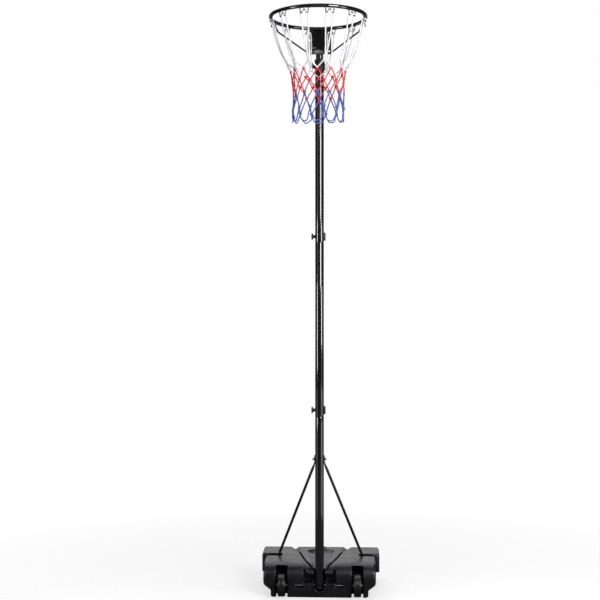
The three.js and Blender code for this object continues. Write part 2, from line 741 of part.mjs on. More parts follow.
// Wheels and axle
function wheelForm() {
  const half = wheel.width / 2;
  const rimInner = wheel.radius - wheel.rimWall;
  const web = wheel.web / 2;
  const hub = half + wheel.hubExtra;
  const body = solid(toX(revolved([
    [0, -hub], [wheel.hubRadius, -hub], [wheel.hubRadius, -web], [rimInner, -web], [rimInner, -half],
    [wheel.radius - wheel.crown, -half], [wheel.radius, -half + 2 * wheel.crown],
    [wheel.radius, half - 2 * wheel.crown], [wheel.radius - wheel.crown, half],
    [rimInner, half], [rimInner, web], [wheel.hubRadius, web], [wheel.hubRadius, hub], [0, hub],
  ], steps.wheel)));
  return cut(body, solid(boreAlongX(axle.radius, -hub - overrun, hub + overrun)));
}

function axleRod() {
  return solid(toX(cylinder(axle.radius, -axleHalf, axleHalf)));
}

function axleClip() {
  return solid(toX(tubeForm(axle.clipRadius, boreFor(axle.radius), 0, axle.clipWidth, steps.bore)));
}

// Braces: round tubes whose ends are pressed flat, bent and drilled
function braceForm(side) {
  const topX = pole.radius + clearance + brace.tabHalfThickness;
  const start = new THREE.Vector3(topX, 0, brace.boltHeight);
  const foot = new THREE.Vector3(braceFootX, braceFootY, braceFootZ);
  const run = foot.clone().sub(start);
  const topRun = new THREE.Vector3(0, run.y, run.z).normalize();
  const footRun = new THREE.Vector3(run.x, run.y, 0).normalize();
  const topBend = start.clone().addScaledVector(topRun, brace.tabTail);
  topBend.x += brace.bendShift;
  const footBend = foot.clone().addScaledVector(footRun, -brace.footTab);
  footBend.z += brace.radius - brace.tabHalfThickness;
  const rodRun = footBend.clone().sub(topBend).normalize();
  const topWide = new THREE.Vector3().crossVectors(axisX, topRun).normalize();
  const footWide = new THREE.Vector3().crossVectors(axisZ, footRun).normalize();
  const rings = [];
  const station = (centre, direction, wide, halfWidth, halfThickness) => {
    const across = wide.clone().addScaledVector(direction, -wide.dot(direction)).setLength(halfWidth);
    const lift = new THREE.Vector3().crossVectors(direction, across).setLength(halfThickness);
    const levelShare = halfThickness < halfWidth ? 1.5 : 1;
    rings.push(sectionRing(centre, across, lift, steps.bore, levelShare));
  };
  const { radius, tabHalfWidth, tabHalfThickness, bendHalfWidth, bendHalfThickness } = brace;
  const tab = (from, direction, reach, wide, widthShare = 1) => {
    const centre = from.clone().addScaledVector(direction, reach);
    station(centre, direction, wide, tabHalfWidth * widthShare, tabHalfThickness);
  };
  for (const [out, width] of tabEndShares) {
    tab(start, topRun, -brace.tabTip - tabHalfWidth * out, topWide, width);
  }
  tab(start, topRun, tabHalfWidth, topWide);
  station(topBend, topRun.clone().add(rodRun).normalize(), topWide, bendHalfWidth, bendHalfThickness);
  const length = footBend.distanceTo(topBend) - 2 * brace.taper;
  for (let step = 0; step <= steps.twist; step++) {
    const share = step / steps.twist;
    const centre = topBend.clone().addScaledVector(rodRun, brace.taper + length * share);
    station(centre, rodRun, topWide.clone().lerp(footWide, share), radius, radius);
  }
  station(footBend, footRun.clone().add(rodRun).normalize(), footWide, bendHalfWidth, bendHalfThickness);
  tab(foot, footRun, -tabHalfWidth, footWide);
  for (const [out, width] of [...tabEndShares].reverse()) {
    tab(foot, footRun, tabHalfWidth * out, footWide, width);
  }
  const form = solid(loft(rings).scale(side, 1, 1));
  const [low, high] = [braceFootZ - overrun, braceFootZ + overrun];
  const screwBore = cylinder(boreFor(brace.screwRadius), low, high, steps.bore);
  const boltBore = crossBore(bolt.radius, brace.boltHeight, -braceFootX, braceFootX);
  return cut(form, boltBore, solid(atBraceFoot(screwBore, side)));
}

const braceOuter = pole.radius + 2 * clearance + 2 * brace.tabHalfThickness;

// A hexagon bolt through a stack that reaches as far on both sides of the pole
function hexagonBolt(outer) {
  const tip = outer + bolt.nutHeight + clearance;
  const shank = solid(toX(cylinder(bolt.radius, -tip, outer + weld)));
  const head = solid(toX(cylinder(bolt.nutRadius, outer, outer + bolt.nutHeight, steps.hexagon)));
  return join(shank, head);
}

function nut() {
  const body = solid(toX(cylinder(bolt.nutRadius, 0, bolt.nutHeight, steps.hexagon)));
  return cut(body, solid(boreAlongX(bolt.radius, -overrun, bolt.nutHeight + overrun)));
}

function braceScrew() {
  const seat = brace.tabHalfThickness + clearance;
  const shank = solid(cylinder(brace.screwRadius, clearance - brace.screwLength, seat + weld));
  const dome = domed(brace.screwHead, seat, seat + brace.screwHeadHeight);
  return join(shank, solid(revolved([[0, seat], ...dome], steps.rod)));
}

// Sliding tube with its cap and guide. Heights in this and the next sections are measured from
// the ring's centreline.
const innerTop = hoop.plateAbove - innerPole.topBelowPlate;
const innerLow = innerBottom - ringHeight;
const channelTop = hoop.plateAbove - channel.top;
const channelLow = channelTop - channel.height;
const bracketBoltHeights = { upper: channelTop - channel.boltInset, lower: channelLow + channel.boltInset };

function slidingTube() {
  const bore = innerPole.radius - innerPole.wall;
  return cut(
    solid(tubeForm(innerPole.radius, bore, innerLow, innerTop, steps.pole)),
    crossBore(bolt.radius, bracketBoltHeights.upper),
    crossBore(bolt.radius, bracketBoltHeights.lower),
  );
}

function innerCap() {
  const plug = innerPole.radius - innerPole.wall - clearance;
  const seat = innerTop + clearance;
  const dome = domed(innerPole.radius, seat, seat + innerPole.capHeight);
  const low = seat - innerPole.capDepth;
  return solid(revolved([[0, low], [plug, low], [plug, seat], ...dome], steps.pole));
}

// The guide sits on the lower end of the sliding tube and runs inside the top pole section.
function guideBush() {
  const plug = innerPole.radius - innerPole.wall - clearance;
  const bore = plug - innerPole.wall;
  const outer = pole.radius - pole.wall - clearance;
  const seat = innerLow - clearance;
  return solid(revolved([
    [bore, seat - bushDepth], [outer, seat - bushDepth], [outer, seat],
    [plug, seat], [plug, seat + bushDepth], [bore, seat + bushDepth],
  ], steps.pole));
}

// Bracket: a hat-shaped channel round the tube, welded behind a flat plate
function bracketChannel() {
  const inner = innerPole.radius + clearance;
  const outer = inner + channel.wall;
  const flangeBack = channelFront + channel.wall;
  const right = [
    [outer + channel.flange, channelFront], [outer + channel.flange, flangeBack], [outer, flangeBack],
    [outer, channel.reach], [inner, channel.reach], [inner, flangeBack],
  ];
  const left = right.map(([x, y]) => [-x, y]).reverse();
  const body = solid(alongZ(outline([...right, ...left]), channelLow, channelTop));
  const bores = Object.values(bracketBoltHeights).map((height) => crossBore(bolt.radius, height));
  return cut(body, ...bores);
}

function bracketPlate() {
  const top = hoop.plateAbove;
  const shape = roundedRectangle(-plate.width / 2, top - plate.height, plate.width / 2, top, plate.corner);
  for (const share of plateHoleShares) {
    for (const side of [-1, 1]) {
      const hole = new THREE.Path();
      const x = side * (plate.width / 2 - plate.holeInset);
      hole.absarc(x, top - plate.height * share, plate.holeRadius, 0, Math.PI * 2, true);
      shape.holes.push(hole);
    }
  }
  return solid(alongY(shape, plateFront, plateBack, 0, steps.plate));
}

const channelOuter = innerPole.radius + 2 * clearance + channel.wall;

// A place on or near the ring: an angle from straight ahead, a radius and a height
function aroundRing(degrees, radius, height) {
  const angle = THREE.MathUtils.degToRad(degrees);
  return new THREE.Vector3(radius * Math.sin(angle), ringCentre - radius * Math.cos(angle), height);
}

// As above, with a sideways offset along the ring's edge
function besideRing(degrees, radius, height, sideways) {
  const angle = THREE.MathUtils.degToRad(degrees);
  const point = aroundRing(degrees, radius, height);
  return point.add(new THREE.Vector3(sideways * Math.cos(angle), sideways * Math.sin(angle), 0));
}

function outwardAt(degrees) {
  return aroundRing(degrees, 1, 0).sub(aroundRing(degrees, 0, 0));
}

const hookPitch = 360 / hookCount; // degrees

const hookAngles = Array.from({ length: hookCount }, (_, index) => (index + 0.5) * hookPitch);

// A W of wire under the ring: two valleys and a peak between them
function hookForm(degrees) {
  const { radius, pitch, bend, drop, peak, splay } = hookWire;
  const offsets = [[-pitch - bend - splay, -hoop.rodRadius / 2]];
  const arc = (centreX, centreZ, sign) => {
    for (let step = 0; step <= steps.hookBend; step++) {
      const angle = Math.PI * (1 - step / steps.hookBend);
      offsets.push([centreX + bend * Math.cos(angle), centreZ + sign * bend * Math.sin(angle)]);
    }
  };
  arc(-pitch, bend - drop, -1);
  arc(0, -peak - bend, 1);
  arc(pitch, bend - drop, -1);
  offsets.push([pitch + bend + splay, -hoop.rodRadius / 2]);
  const points = offsets.map(([sideways, height]) => besideRing(degrees, ringRadius, height, sideways));
  return loft(sweptRings(points, radius, steps.wire, outwardAt(degrees)));
}

function ringWithHooks() {
  const profile = Array.from({ length: steps.ringRod }, (_, side) => {
    const angle = (side / steps.ringRod) * Math.PI * 2;
    return [ringRadius + hoop.rodRadius * Math.cos(angle), hoop.rodRadius * Math.sin(angle)];
  });
  const rod = solid(revolved(profile, steps.ring).translate(0, ringCentre, 0));
  return join(rod, ...hookAngles.map((degrees) => solid(hookForm(degrees))));
}

// A bent rod that props the ring from the plate's lower corner
function ringStay(side) {
  const start = aroundRing(stay.startAngle, ringRadius, -hoop.rodRadius - clearance);
  const bend = new THREE.Vector3(stay.bendX, -stay.bendBack, -stay.bendDrop);
  const plateLow = hoop.plateAbove - plate.height;
  const footX = plate.width / 2 - stay.footInset;
  const foot = new THREE.Vector3(footX, plateFront - clearance - stay.radius, plateLow + stay.footRise);
  const footRun = foot.clone().sub(bend).setY(0).normalize();
  const landing = foot.clone().addScaledVector(footRun, -stay.landing);
  const rings = sweptRings([start, bend, landing, foot], stay.radius, steps.rod, axisY);
  rings[0].forEach((point) => point.setZ(start.z));
  return solid(loft(rings).scale(side, 1, 1));
}

// Net
const strandEndShare = 0.985; // a strand stops just short of its knot's middle

// A knot: a flat lozenge that stands on its point
function knotAt(degrees, row) {
  const rings = [-knot.halfDepth, knot.halfDepth].map((depth) => {
    const corners = [[knot.half, 0], [0, knot.half], [-knot.half, 0], [0, -knot.half]];
    return corners.map(([sideways, rise]) => (
      besideRing(degrees, row.radius + depth, rise - row.drop, sideways)
    ));
  });
  return solid(loft(rings));
}

function cordThrough(points, guide) {
  return solid(loft(sweptRings(points, cordRadius, steps.cord, guide)));
}

// How far along a cord its end clears the face of the lozenge that it comes from
function clearOfKnot(run) {
  const lean = Math.PI / 4 - Math.acos(Math.abs(run.z) / run.length());
  const halfFlat = cordRadius * Math.cos(Math.PI / steps.cord);
  return (knot.half * Math.SQRT1_2 + 2 * clearance + halfFlat * Math.abs(Math.sin(lean))) / Math.cos(lean);
}

// From a knot in one row to a knot in the next. A cord of the next colour starts beside its knot.
function strandBetween(fromDegrees, fromRow, toDegrees, toRow, startsClear = false) {
  const from = aroundRing(fromDegrees, fromRow.radius, -fromRow.drop);
  const to = aroundRing(toDegrees, toRow.radius, -toRow.drop);
  const run = to.clone().sub(from);
  const start = startsClear ? from.clone().add(run.clone().setLength(clearOfKnot(run))) : from;
  const end = from.clone().lerp(to, strandEndShare);
  return cordThrough([start, end], outwardAt((fromDegrees + toDegrees) / 2));
}

// Half of a white loop, which starts behind the hook's peak. Over the valley: how far out from the
// ring and how high over the valley's seat, as shares of the cord's radius, and how far sideways as
// a share of the valley's place.
const loopTopShares = [[2.6, -0.85, 0.35], [1.77, -0.15, 0.86], [0, 0, 1], [-1.54, -1.15, 1.04]];
// Down to the first knot: the share of the fall, and how far sideways
const loopFallShares = [[0.06, 1.15], [0.45, 0.83], [1, 0.22]];
const loopInset = 6;
const loopBulgeShare = 0.68; // how much a loop bows outwards

function hangingLoop(degrees) {
  const { pitch, drop, radius, seatGap } = hookWire;
  const seat = radius + seatGap + cordRadius - drop;
  const row = netRows.first;
  const top = ringRadius - loopInset;
  const falling = ([share, sideShare], sign) => {
    const bulge = loopBulgeShare * (ringRadius - row.radius) * share * (1 - share);
    const out = top + (row.radius - top) * share + bulge;
    return besideRing(degrees, out, -drop - (row.drop - drop) * share, sign * pitch * sideShare);
  };
  const half = (sign) => [
    ...loopTopShares.map(([out, rise, side]) => (
      besideRing(degrees, ringRadius + cordRadius * out, seat + cordRadius * rise, sign * pitch * side)
    )),
    ...loopFallShares.map((entry) => falling(entry, sign)),
  ];
  return cordThrough([...half(-1).reverse(), ...half(1)], outwardAt(degrees).sub(axisZ));
}

function netWhite() {
  const { first, second } = netRows;
  const shapes = hookAngles.flatMap((here) => {
    const [left, right] = [here - hookPitch / 2, here + hookPitch / 2];
    return [
      hangingLoop(here),
      knotAt(here, first),
      knotAt(right, second),
      strandBetween(here, first, right, second),
      strandBetween(here, first, left, second),
    ];
  });
  return wasm.Manifold.union(shapes);
}

function netRed() {
  const { second, third, fourth } = netRows;
  const shapes = hookAngles.flatMap((here) => {
    const [left, right] = [here - hookPitch / 2, here + hookPitch / 2];
    return [
      knotAt(here, third),
      knotAt(right, fourth),
      strandBetween(left, second, here, third, true),
      strandBetween(right, second, here, third, true),
      strandBetween(here, third, left, fourth),
      strandBetween(here, third, right, fourth),
    ];
  });
  return wasm.Manifold.union(shapes);
}

// A hem loop between two knots: share of the way along and share of the fall
const hemShares = [[0, 0], [0.16, 0.7], [0.5, 1], [0.84, 0.7], [1, 0]];

function netBlue() {
  const { fourth, fifth, hem } = netRows;
  const shapes = hookAngles.flatMap((here) => {
    const [left, right] = [here - hookPitch / 2, here + hookPitch / 2];
    const hemPoints = hemShares.map(([along, down]) => aroundRing(
      here + hookPitch * along,
      fifth.radius + (hem.radius - fifth.radius) * down,
      -fifth.drop - (hem.drop - fifth.drop) * down,
    ));
    return [
      knotAt(here, fifth),
      strandBetween(left, fourth, here, fifth, true),
      strandBetween(right, fourth, here, fifth, true),
      cordThrough(hemPoints, outwardAt(right)),
    ];
  });
  return wasm.Manifold.union(shapes);
}

// Assembly
const group = new THREE.Group();

const base = new THREE.Group();
base.add(piece('base_tank', baseTank(), look.tankPlastic));
base.add(piece('ballast', ballast(), look.water));
base.add(piece('axle', axleRod(), look.zinc, 0, 0, axleHeight));
for (const [name, side] of [['left', -1], ['right', 1]]) {
  base.add(piece(`wheel_${name}`, wheelForm(), look.blackPlastic, side * wheelCentre, 0, axleHeight));
  const clipStart = side > 0 ? axleHalf - axle.clipWidth : -axleHalf;
  base.add(piece(`axle_clip_${name}`, axleClip(), look.zinc, clipStart, 0, axleHeight));
  base.add(piece(`brace_${name}`, braceForm(side), look.blackGloss));
  base.add(piece(`brace_screw_${name}`, braceScrew(), look.zinc, side * braceFootX, braceFootY, braceFootZ));
}
base.add(piece('cap_seal', capSeal(), look.seal, 0, filler.centre, neckTop + clearance));
base.add(piece('fill_cap', fillCap(), look.blackPlastic, 0, filler.centre, neckTop + clearance));
group.add(base);

const column = new THREE.Group();
column.add(piece('foot_cap', footCap(), look.blackPlastic));
column.add(piece('lower_pole', lowerPole(), look.blackGloss));
column.add(piece('middle_pole', middlePole(), look.blackGloss));
column.add(piece('upper_pole', upperPole(), look.blackGloss));
column.add(piece('top_collar', topCollar(), look.blackPlastic));
for (const name of ['lower', 'middle']) {
  const height = knobHeights[name];
  column.add(piece(`${name}_bolt`, throughBolt(), look.zinc, 0, 0, height));
  column.add(piece(`${name}_saddle`, saddleBlock(), look.blackPlastic, 0, 0, height));
  column.add(piece(`${name}_knob`, spoolKnob(pole.radius + clearance), look.blackPlastic, 0, 0, height));
}
column.add(piece('clamp_screw', clampScrew(), look.zinc, 0, 0, knobHeights.top));
column.add(piece('clamp_knob', spoolKnob(clampKnobStart), look.blackPlastic, 0, 0, knobHeights.top));
column.add(piece('brace_bolt', hexagonBolt(braceOuter), look.zinc, 0, 0, brace.boltHeight));
column.add(piece('brace_nut', nut(), look.zinc, -braceOuter - bolt.nutHeight, 0, brace.boltHeight));
group.add(column);

const head = new THREE.Group();
head.position.z = ringHeight;
head.add(piece('inner_pole', slidingTube(), look.blackGloss));
head.add(piece('inner_pole_cap', innerCap(), look.blackPlastic));
head.add(piece('guide_bush', guideBush(), look.blackPlastic));
head.add(piece('hoop_bracket', bracketChannel(), look.blackGloss));
head.add(piece('bracket_plate', bracketPlate(), look.blackGloss));
for (const [name, height] of Object.entries(bracketBoltHeights)) {
  head.add(piece(`bracket_bolt_${name}`, hexagonBolt(channelOuter), look.zinc, 0, 0, height));
  head.add(piece(`bracket_nut_${name}`, nut(), look.zinc, -channelOuter - bolt.nutHeight, 0, height));
}
head.add(piece('ring', ringWithHooks(), look.blackGloss));
head.add(piece('ring_brace_left', ringStay(-1), look.blackGloss));
head.add(piece('ring_brace_right', ringStay(1), look.blackGloss));
head.add(piece('net_white', netWhite(), look.cordWhite));
head.add(piece('net_red', netRed(), look.cordRed));
head.add(piece('net_blue', netBlue(), look.cordBlue));
group.add(head);

export default group;
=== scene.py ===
import math
import random

import bmesh
import bpy
from mathutils import Matrix, Vector


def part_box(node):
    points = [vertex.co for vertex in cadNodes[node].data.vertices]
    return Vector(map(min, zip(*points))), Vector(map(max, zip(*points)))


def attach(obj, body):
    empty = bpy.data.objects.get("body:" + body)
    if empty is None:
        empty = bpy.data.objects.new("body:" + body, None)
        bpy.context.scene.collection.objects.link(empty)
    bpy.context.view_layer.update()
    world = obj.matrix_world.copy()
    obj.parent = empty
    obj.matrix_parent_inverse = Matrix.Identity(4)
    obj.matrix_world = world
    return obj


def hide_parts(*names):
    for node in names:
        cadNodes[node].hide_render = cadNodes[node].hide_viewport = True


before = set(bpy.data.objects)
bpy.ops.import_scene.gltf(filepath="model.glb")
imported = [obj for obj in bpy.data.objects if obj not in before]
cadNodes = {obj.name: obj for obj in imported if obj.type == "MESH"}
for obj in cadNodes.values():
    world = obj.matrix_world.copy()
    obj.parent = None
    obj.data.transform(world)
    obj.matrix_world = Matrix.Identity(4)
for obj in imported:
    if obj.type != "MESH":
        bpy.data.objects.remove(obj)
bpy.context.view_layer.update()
print("frame loaded:", len(cadNodes), "nodes")


def addObject(name, data):
    thing = bpy.data.objects.new(name, data)
    bpy.context.scene.collection.objects.link(thing)
    return thing


# Camera

view = {
    "lens": 68.9,  # mm on a 36 mm sensor
    "distance": 4.994,  # m, to the pole's axis
    "height": 1.2923,
    "sideways": 0.0849,  # the pole stands this far right of the picture's middle
    "azimuth": 2.4,  # degrees, towards +X
}

angle = math.radians(view["azimuth"])
forward = Vector((-math.sin(angle), math.cos(angle), 0))
rightward = Vector((math.cos(angle), math.sin(angle), 0))
cameraData = bpy.data.cameras.new("camera")
cameraData.lens = view["lens"]
cameraData.sensor_width = 36
camera = addObject("camera", cameraData)
camera.location = -view["distance"] * forward - view["sideways"] * rightward + Vector((0, 0, view["height"]))
camera.rotation_euler = (math.pi / 2, 0, angle)
bpy.context.scene.camera = camera
bpy.context.scene.view_settings.view_transform = "Standard"
print("camera set")


# Small tools

def srgb(code):  # "#rrggbb" to linear values
    values = [int(code[i:i + 2], 16) / 255 for i in (1, 3, 5)]
    return tuple(v / 12.92 if v <= 0.04045 else ((v + 0.055) / 1.055) ** 2.4 for v in values) + (1.0,)


def addNode(material, kind, settings=None, **inputs):
    # Adds a node. An input is a value, or (node, output) to link. Spaces in names are underscores.
    node = material.node_tree.nodes.new("ShaderNode" + kind)
    for key, value in (settings or {}).items():
        setattr(node, key, value)
    for key, value in inputs.items():
        name = key.replace("_", " ")
        socket = node.inputs[int(key[2:])] if key.startswith("in") and key[2:].isdigit() else node.inputs[name]
        if isinstance(value, tuple) and isinstance(value[0], bpy.types.Node):
            material.node_tree.links.new(value[0].outputs[value[1]], socket)
        else:
            socket.default_value = value
    return node


def newMaterial(name):
    # An empty material, and its node for places in the scene, in metres
    material = bpy.data.materials.new(name)
    material.use_nodes = True
    material.node_tree.nodes.clear()
    return material, addNode(material, "NewGeometry")


def meshPiece(name, verts, faces, uvs=None, sharpAngle=35):
    # A mesh object with smooth faces and sharp edges over the angle. uvs are per face corner.
    mesh = bpy.data.meshes.new(name)
    mesh.from_pydata([tuple(v) for v in verts], [], faces)
    if uvs:
        layer = mesh.uv_layers.new(name="run")
        layer.data.foreach_set("uv", [c for corner in uvs for c in corner])
    mesh.validate()
    mesh.shade_smooth()
    mesh.set_sharp_from_angle(angle=math.radians(sharpAngle))
    return addObject(name, mesh)


def dress(piece, finish, body, node):
    # Gives a piece its material and its body, and hides the CAD node that it stands for
    material, slot = finish
    piece.data.materials.clear()
    piece.data.materials.append(material)
    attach(piece, body)
    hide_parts(node)


def make(name, part, finish, body, node, sharpAngle=35):
    dress(meshPiece(name, *part, sharpAngle=sharpAngle), finish, body, node)


def asPart(piece, offset=(0, 0, 0)):
    # Takes the verts and faces out of a piece, and removes it
    part = ([v.co + Vector(offset) for v in piece.data.vertices], [list(f.vertices) for f in piece.data.polygons])
    bpy.data.objects.remove(piece)
    return part


def modify(piece, kind, **settings):
    # Adds a modifier and applies it
    modifier = piece.modifiers.new(kind, kind)
    for key, value in settings.items():
        setattr(modifier, key, value)
    bpy.context.view_layer.update()
    graph = bpy.context.evaluated_depsgraph_get()
    mesh = bpy.data.meshes.new_from_object(piece.evaluated_get(graph))
    piece.modifiers.clear()
    old = piece.data
    piece.data = mesh
    bpy.data.meshes.remove(old)


def joined(parts, mapped=False):
    # Merges parts of (verts, faces) or (verts, faces, uvs) into one, with the map when asked
    verts, faces, uvs = [], [], []
    for part in parts:
        start = len(verts)
        verts += part[0]
        faces += [[start + i for i in face] for face in part[1]]
        uvs += part[2] if len(part) > 2 else [(0.0, 0.0)] * sum(len(face) for face in part[1])
    return (verts, faces, uvs) if mapped else (verts, faces)


def rounded(path, radius, arcSteps=3, limit=0.45):
    # Rounds the inner corners of an open path, or of a profile of (radius, height) points
    result = [path[0]]
    for i in range(1, len(path) - 1):
        a, b, c = (Vector(path[i + k]) for k in (-1, 0, 1))
        reach = min(radius, (a - b).length * limit, (c - b).length * limit)
        start, end = b + (a - b).normalized() * reach, b + (c - b).normalized() * reach
        for step in range(arcSteps + 1):
            t = step / arcSteps
            result.append((1 - t) ** 2 * start + 2 * t * (1 - t) * b + t ** 2 * end)
    return result + [path[-1]]


def ringProfile(corners, radius):
    # A closed profile with rounded corners. Its first and last corner lie on its inner side.
    inner, middle = corners[0][0], (corners[0][1] + corners[-1][1]) / 2
    return rounded([(inner, middle)] + corners + [(inner, middle)], radius)[1:-1]


def loftRings(rings, closed=False):
    # Joins rings of as many points into one skin with flat ends, or with its ends joined
    sides, count = len(rings[0]), len(rings)
    faces = []
    for i in range(count if closed else count - 1):
        j = (i + 1) % count
        for k in range(sides):
            n = (k + 1) % sides
            faces.append([i * sides + k, i * sides + n, j * sides + n, j * sides + k])
    if not closed:
        faces.append(list(reversed(range(sides))))
        faces.append([(count - 1) * sides + k for k in range(sides)])
    verts = [point for ring in rings for point in ring]
    mesh = bmesh.new()
    made = [mesh.verts.new(v) for v in verts]
    for face in faces:
        mesh.faces.new([made[i] for i in face])
    bmesh.ops.recalc_face_normals(mesh, faces=mesh.faces)
    mesh.verts.index_update()
    faces = [[v.index for v in face.verts] for face in mesh.faces]
    mesh.free()
    return verts, faces


def revolve(profile, segments=48, axis="Z", origin=(0, 0, 0), flip=False, reach=None):
    # Turns a profile of (radius, height) about an axis. A profile off the axis closes on itself.
    # flip mirrors it left to right. reach(radius, height, angle) may change the radius.
    onAxis = profile[0][0] < 1e-9
    rings = []
    for radius, height in profile[1:-1] if onAxis else profile:
        ring = []
        for k in range(segments):
            a = 2 * math.pi * k / segments
            r = reach(radius, height, a) if reach else radius
            x, y, z = r * math.cos(a), r * math.sin(a), height
            if axis == "X":
                x, z = z, -x
            elif axis == "Y":
                y, z = z, -y
            ring.append(Vector((-x if flip else x, y, z)) + Vector(origin))
        rings.append(ring)
    return loftRings(rings, not onAxis)


def smoothPath(points, perSegment=4):
    # A Catmull-Rom line through the points
    count = len(points)
    result = []
    for i in range(count - 1):
        p = [points[max(0, min(count - 1, i + k))] for k in (-1, 0, 1, 2)]
        for step in range(perSegment):
            t = step / perSegment
            result.append(0.5 * (2 * p[1] + (p[2] - p[0]) * t + (2 * p[0] - 5 * p[1] + 4 * p[2] - p[3]) * t * t
                                 + (3 * p[1] - p[0] - 3 * p[2] + p[3]) * t ** 3))
    return result + [points[-1].copy()]


def sweep(points, radius, sides=10, closed=False):
    # A tube along a path, with round ends. Its map runs in metres: round it and along it.
    points = [Vector(p) for p in points]
    count = len(points)
    sizes = [radius] * count
    tangents = []
    for i in range(count):
        if closed:
            tangents.append((points[(i + 1) % count] - points[i - 1]).normalized())
        else:
            tangents.append((points[min(i + 1, count - 1)] - points[max(i - 1, 0)]).normalized())
    if not closed:
        for share in (0.87, 0.45):
            out = sizes[0] * 0.5
            points = [points[0] - tangents[0] * out] + points + [points[-1] + tangents[-1] * out]
            sizes = [sizes[0] * share] + sizes + [sizes[-1] * share]
            tangents = [tangents[0]] + tangents + [tangents[-1]]
        count = len(points)
    guide = Vector((0, 0, 1)) if abs(tangents[0].z) < 0.9 else Vector((1, 0, 0))
    across = tangents[0].cross(guide).normalized()
    verts, along, length = [], [], 0
    firstAcross = across.copy()
    frames = []
    for i in range(count):
        across = (across - tangents[i] * across.dot(tangents[i])).normalized()
        frames.append(across.copy())
        if i:
            length += (points[i] - points[i - 1]).length
        along.append(length)
    twist = 0
    if closed:
        last = (frames[-1] - tangents[0] * frames[-1].dot(tangents[0])).normalized()
        twist = math.atan2(last.cross(firstAcross).dot(tangents[0]), last.dot(firstAcross))
        length += (points[0] - points[-1]).length
    for i in range(count):
        turned = Matrix.Rotation(twist * i / count, 3, tangents[i]) @ frames[i]
        lift = turned.cross(tangents[i])
        for k in range(sides):
            a = 2 * math.pi * k / sides
            verts.append(points[i] + sizes[i] * (math.cos(a) * turned + math.sin(a) * lift))
    faces, uvs = [], []
    girth = 2 * math.pi * radius
    for i in range(count if closed else count - 1):
        j = (i + 1) % count
        high = along[j] if j else length
        for k in range(sides):
            n = (k + 1) % sides
            faces.append([i * sides + k, j * sides + k, j * sides + n, i * sides + n])
            u0, u1 = girth * k / sides, girth * (k + 1) / sides
            uvs += [(u0, along[i]), (u0, high), (u1, high), (u1, along[i])]
    if not closed:
        faces.append(list(range(sides)))
        faces.append([(count - 1) * sides + k for k in reversed(range(sides))])
        uvs += [(0.0, 0.0)] * sides * 2
    return verts, faces, uvs


def rodPart(radius, start, end, segments, axis="Z", origin=(0, 0, 0)):
    # A plain cylinder
    return revolve([(0, start), (radius, start), (radius, end), (0, end)], segments, axis, origin)


def slab(low, high):
    # A block between two corners
    (x0, y0, z0), (x1, y1, z1) = low, high
    verts = [Vector((x, y, z)) for z in (z0, z1) for y in (y0, y1) for x in (x0, x1)]
    faces = [[0, 2, 3, 1], [4, 5, 7, 6], [0, 1, 5, 4], [2, 6, 7, 3], [0, 4, 6, 2], [1, 3, 7, 5]]
    return verts, faces


def bevelled(piece, width, segments=3, angle=30):
    # Rounds the edges that are sharper than the angle
    modify(piece, "BEVEL", width=width, segments=segments, limit_method="ANGLE", angle_limit=math.radians(angle))
    piece.data.shade_smooth()
    piece.data.set_sharp_from_angle(angle=math.radians(50))
    return piece


def combine(piece, part, operation):
    # Joins a part to a piece, or cuts it out
    tool = meshPiece("tool", *part)
    modify(piece, "BOOLEAN", operation=operation, solver="EXACT", object=tool)
    bpy.data.objects.remove(tool)
    return piece


# Materials

def cloud(material, place, scale, detail, **more):
    # Noise over the places
    return addNode(material, "TexNoise", Vector=(place, "Position"), Scale=scale, Detail=detail, **more)


def grain(material, place, sizeMm, depthMm, detail=3.0, strength=0.6):
    # A fine relief from noise of a real size
    noise = cloud(material, place, 1000 / sizeMm, detail)
    return addNode(material, "Bump", Strength=strength, Distance=depthMm / 1000, Height=(noise, "Fac"))


def stretch(material, node, low, high, start, end, output="Fac"):
    # A node's values from low to high, stretched to run from start to end
    return addNode(material, "MapRange", Value=(node, output), From_Min=low, From_Max=high,
                   To_Min=start, To_Max=end)


def blend(material, share, first, second):
    # Mixes two colours
    return addNode(material, "Mix", {"data_type": "RGBA"}, in0=(share, "Result"), in6=srgb(first),
                   in7=srgb(second))


def finishMaterial(material, colour, roughness, bump, **more):
    # Colour and roughness are plain values or nodes
    shader = addNode(material, "BsdfPrincipled",
                     Base_Color=srgb(colour) if isinstance(colour, str) else (colour, 2),
                     Roughness=roughness if isinstance(roughness, float) else (roughness, "Result"), **more)
    if bump:
        material.node_tree.links.new(bump.outputs["Normal"], shader.inputs["Normal"])
    addNode(material, "OutputMaterial", Surface=(shader, "BSDF"))
    return material


enamel = {"colour": "#09090a", "dust": "#141416", "roughness": 0.1, "coat": 1.0, "coatRoughness": 0.06,
          "peelMm": 6.0, "peelDepthMm": 0.004}


def glossBlackEnamel():
    # Stoved black enamel on drawn steel: deep black, mirror-like, with a faint orange peel
    m, place = newMaterial("glossBlackEnamel")
    haze = cloud(m, place, 9.0, 4.0)
    roughness = stretch(m, haze, 0.3, 0.8, enamel["roughness"], enamel["roughness"] + 0.06)
    colour = blend(m, stretch(m, haze, 0.5, 0.85, 0.0, 0.35), enamel["colour"], enamel["dust"])
    bump = grain(m, place, enamel["peelMm"], enamel["peelDepthMm"], 1.0, 0.25)
    return finishMaterial(m, colour, roughness, bump, IOR=1.52, Coat_Weight=enamel["coat"],
                          Coat_Roughness=enamel["coatRoughness"])


polyethylene = {"colour": "#0e0e10", "paler": "#151518", "roughness": 0.34, "grainMm": 0.9, "grainDepthMm": 0.06,
                "waveDepthMm": 1.2, "tint": (0.93, 0.92, 1.0, 1)}


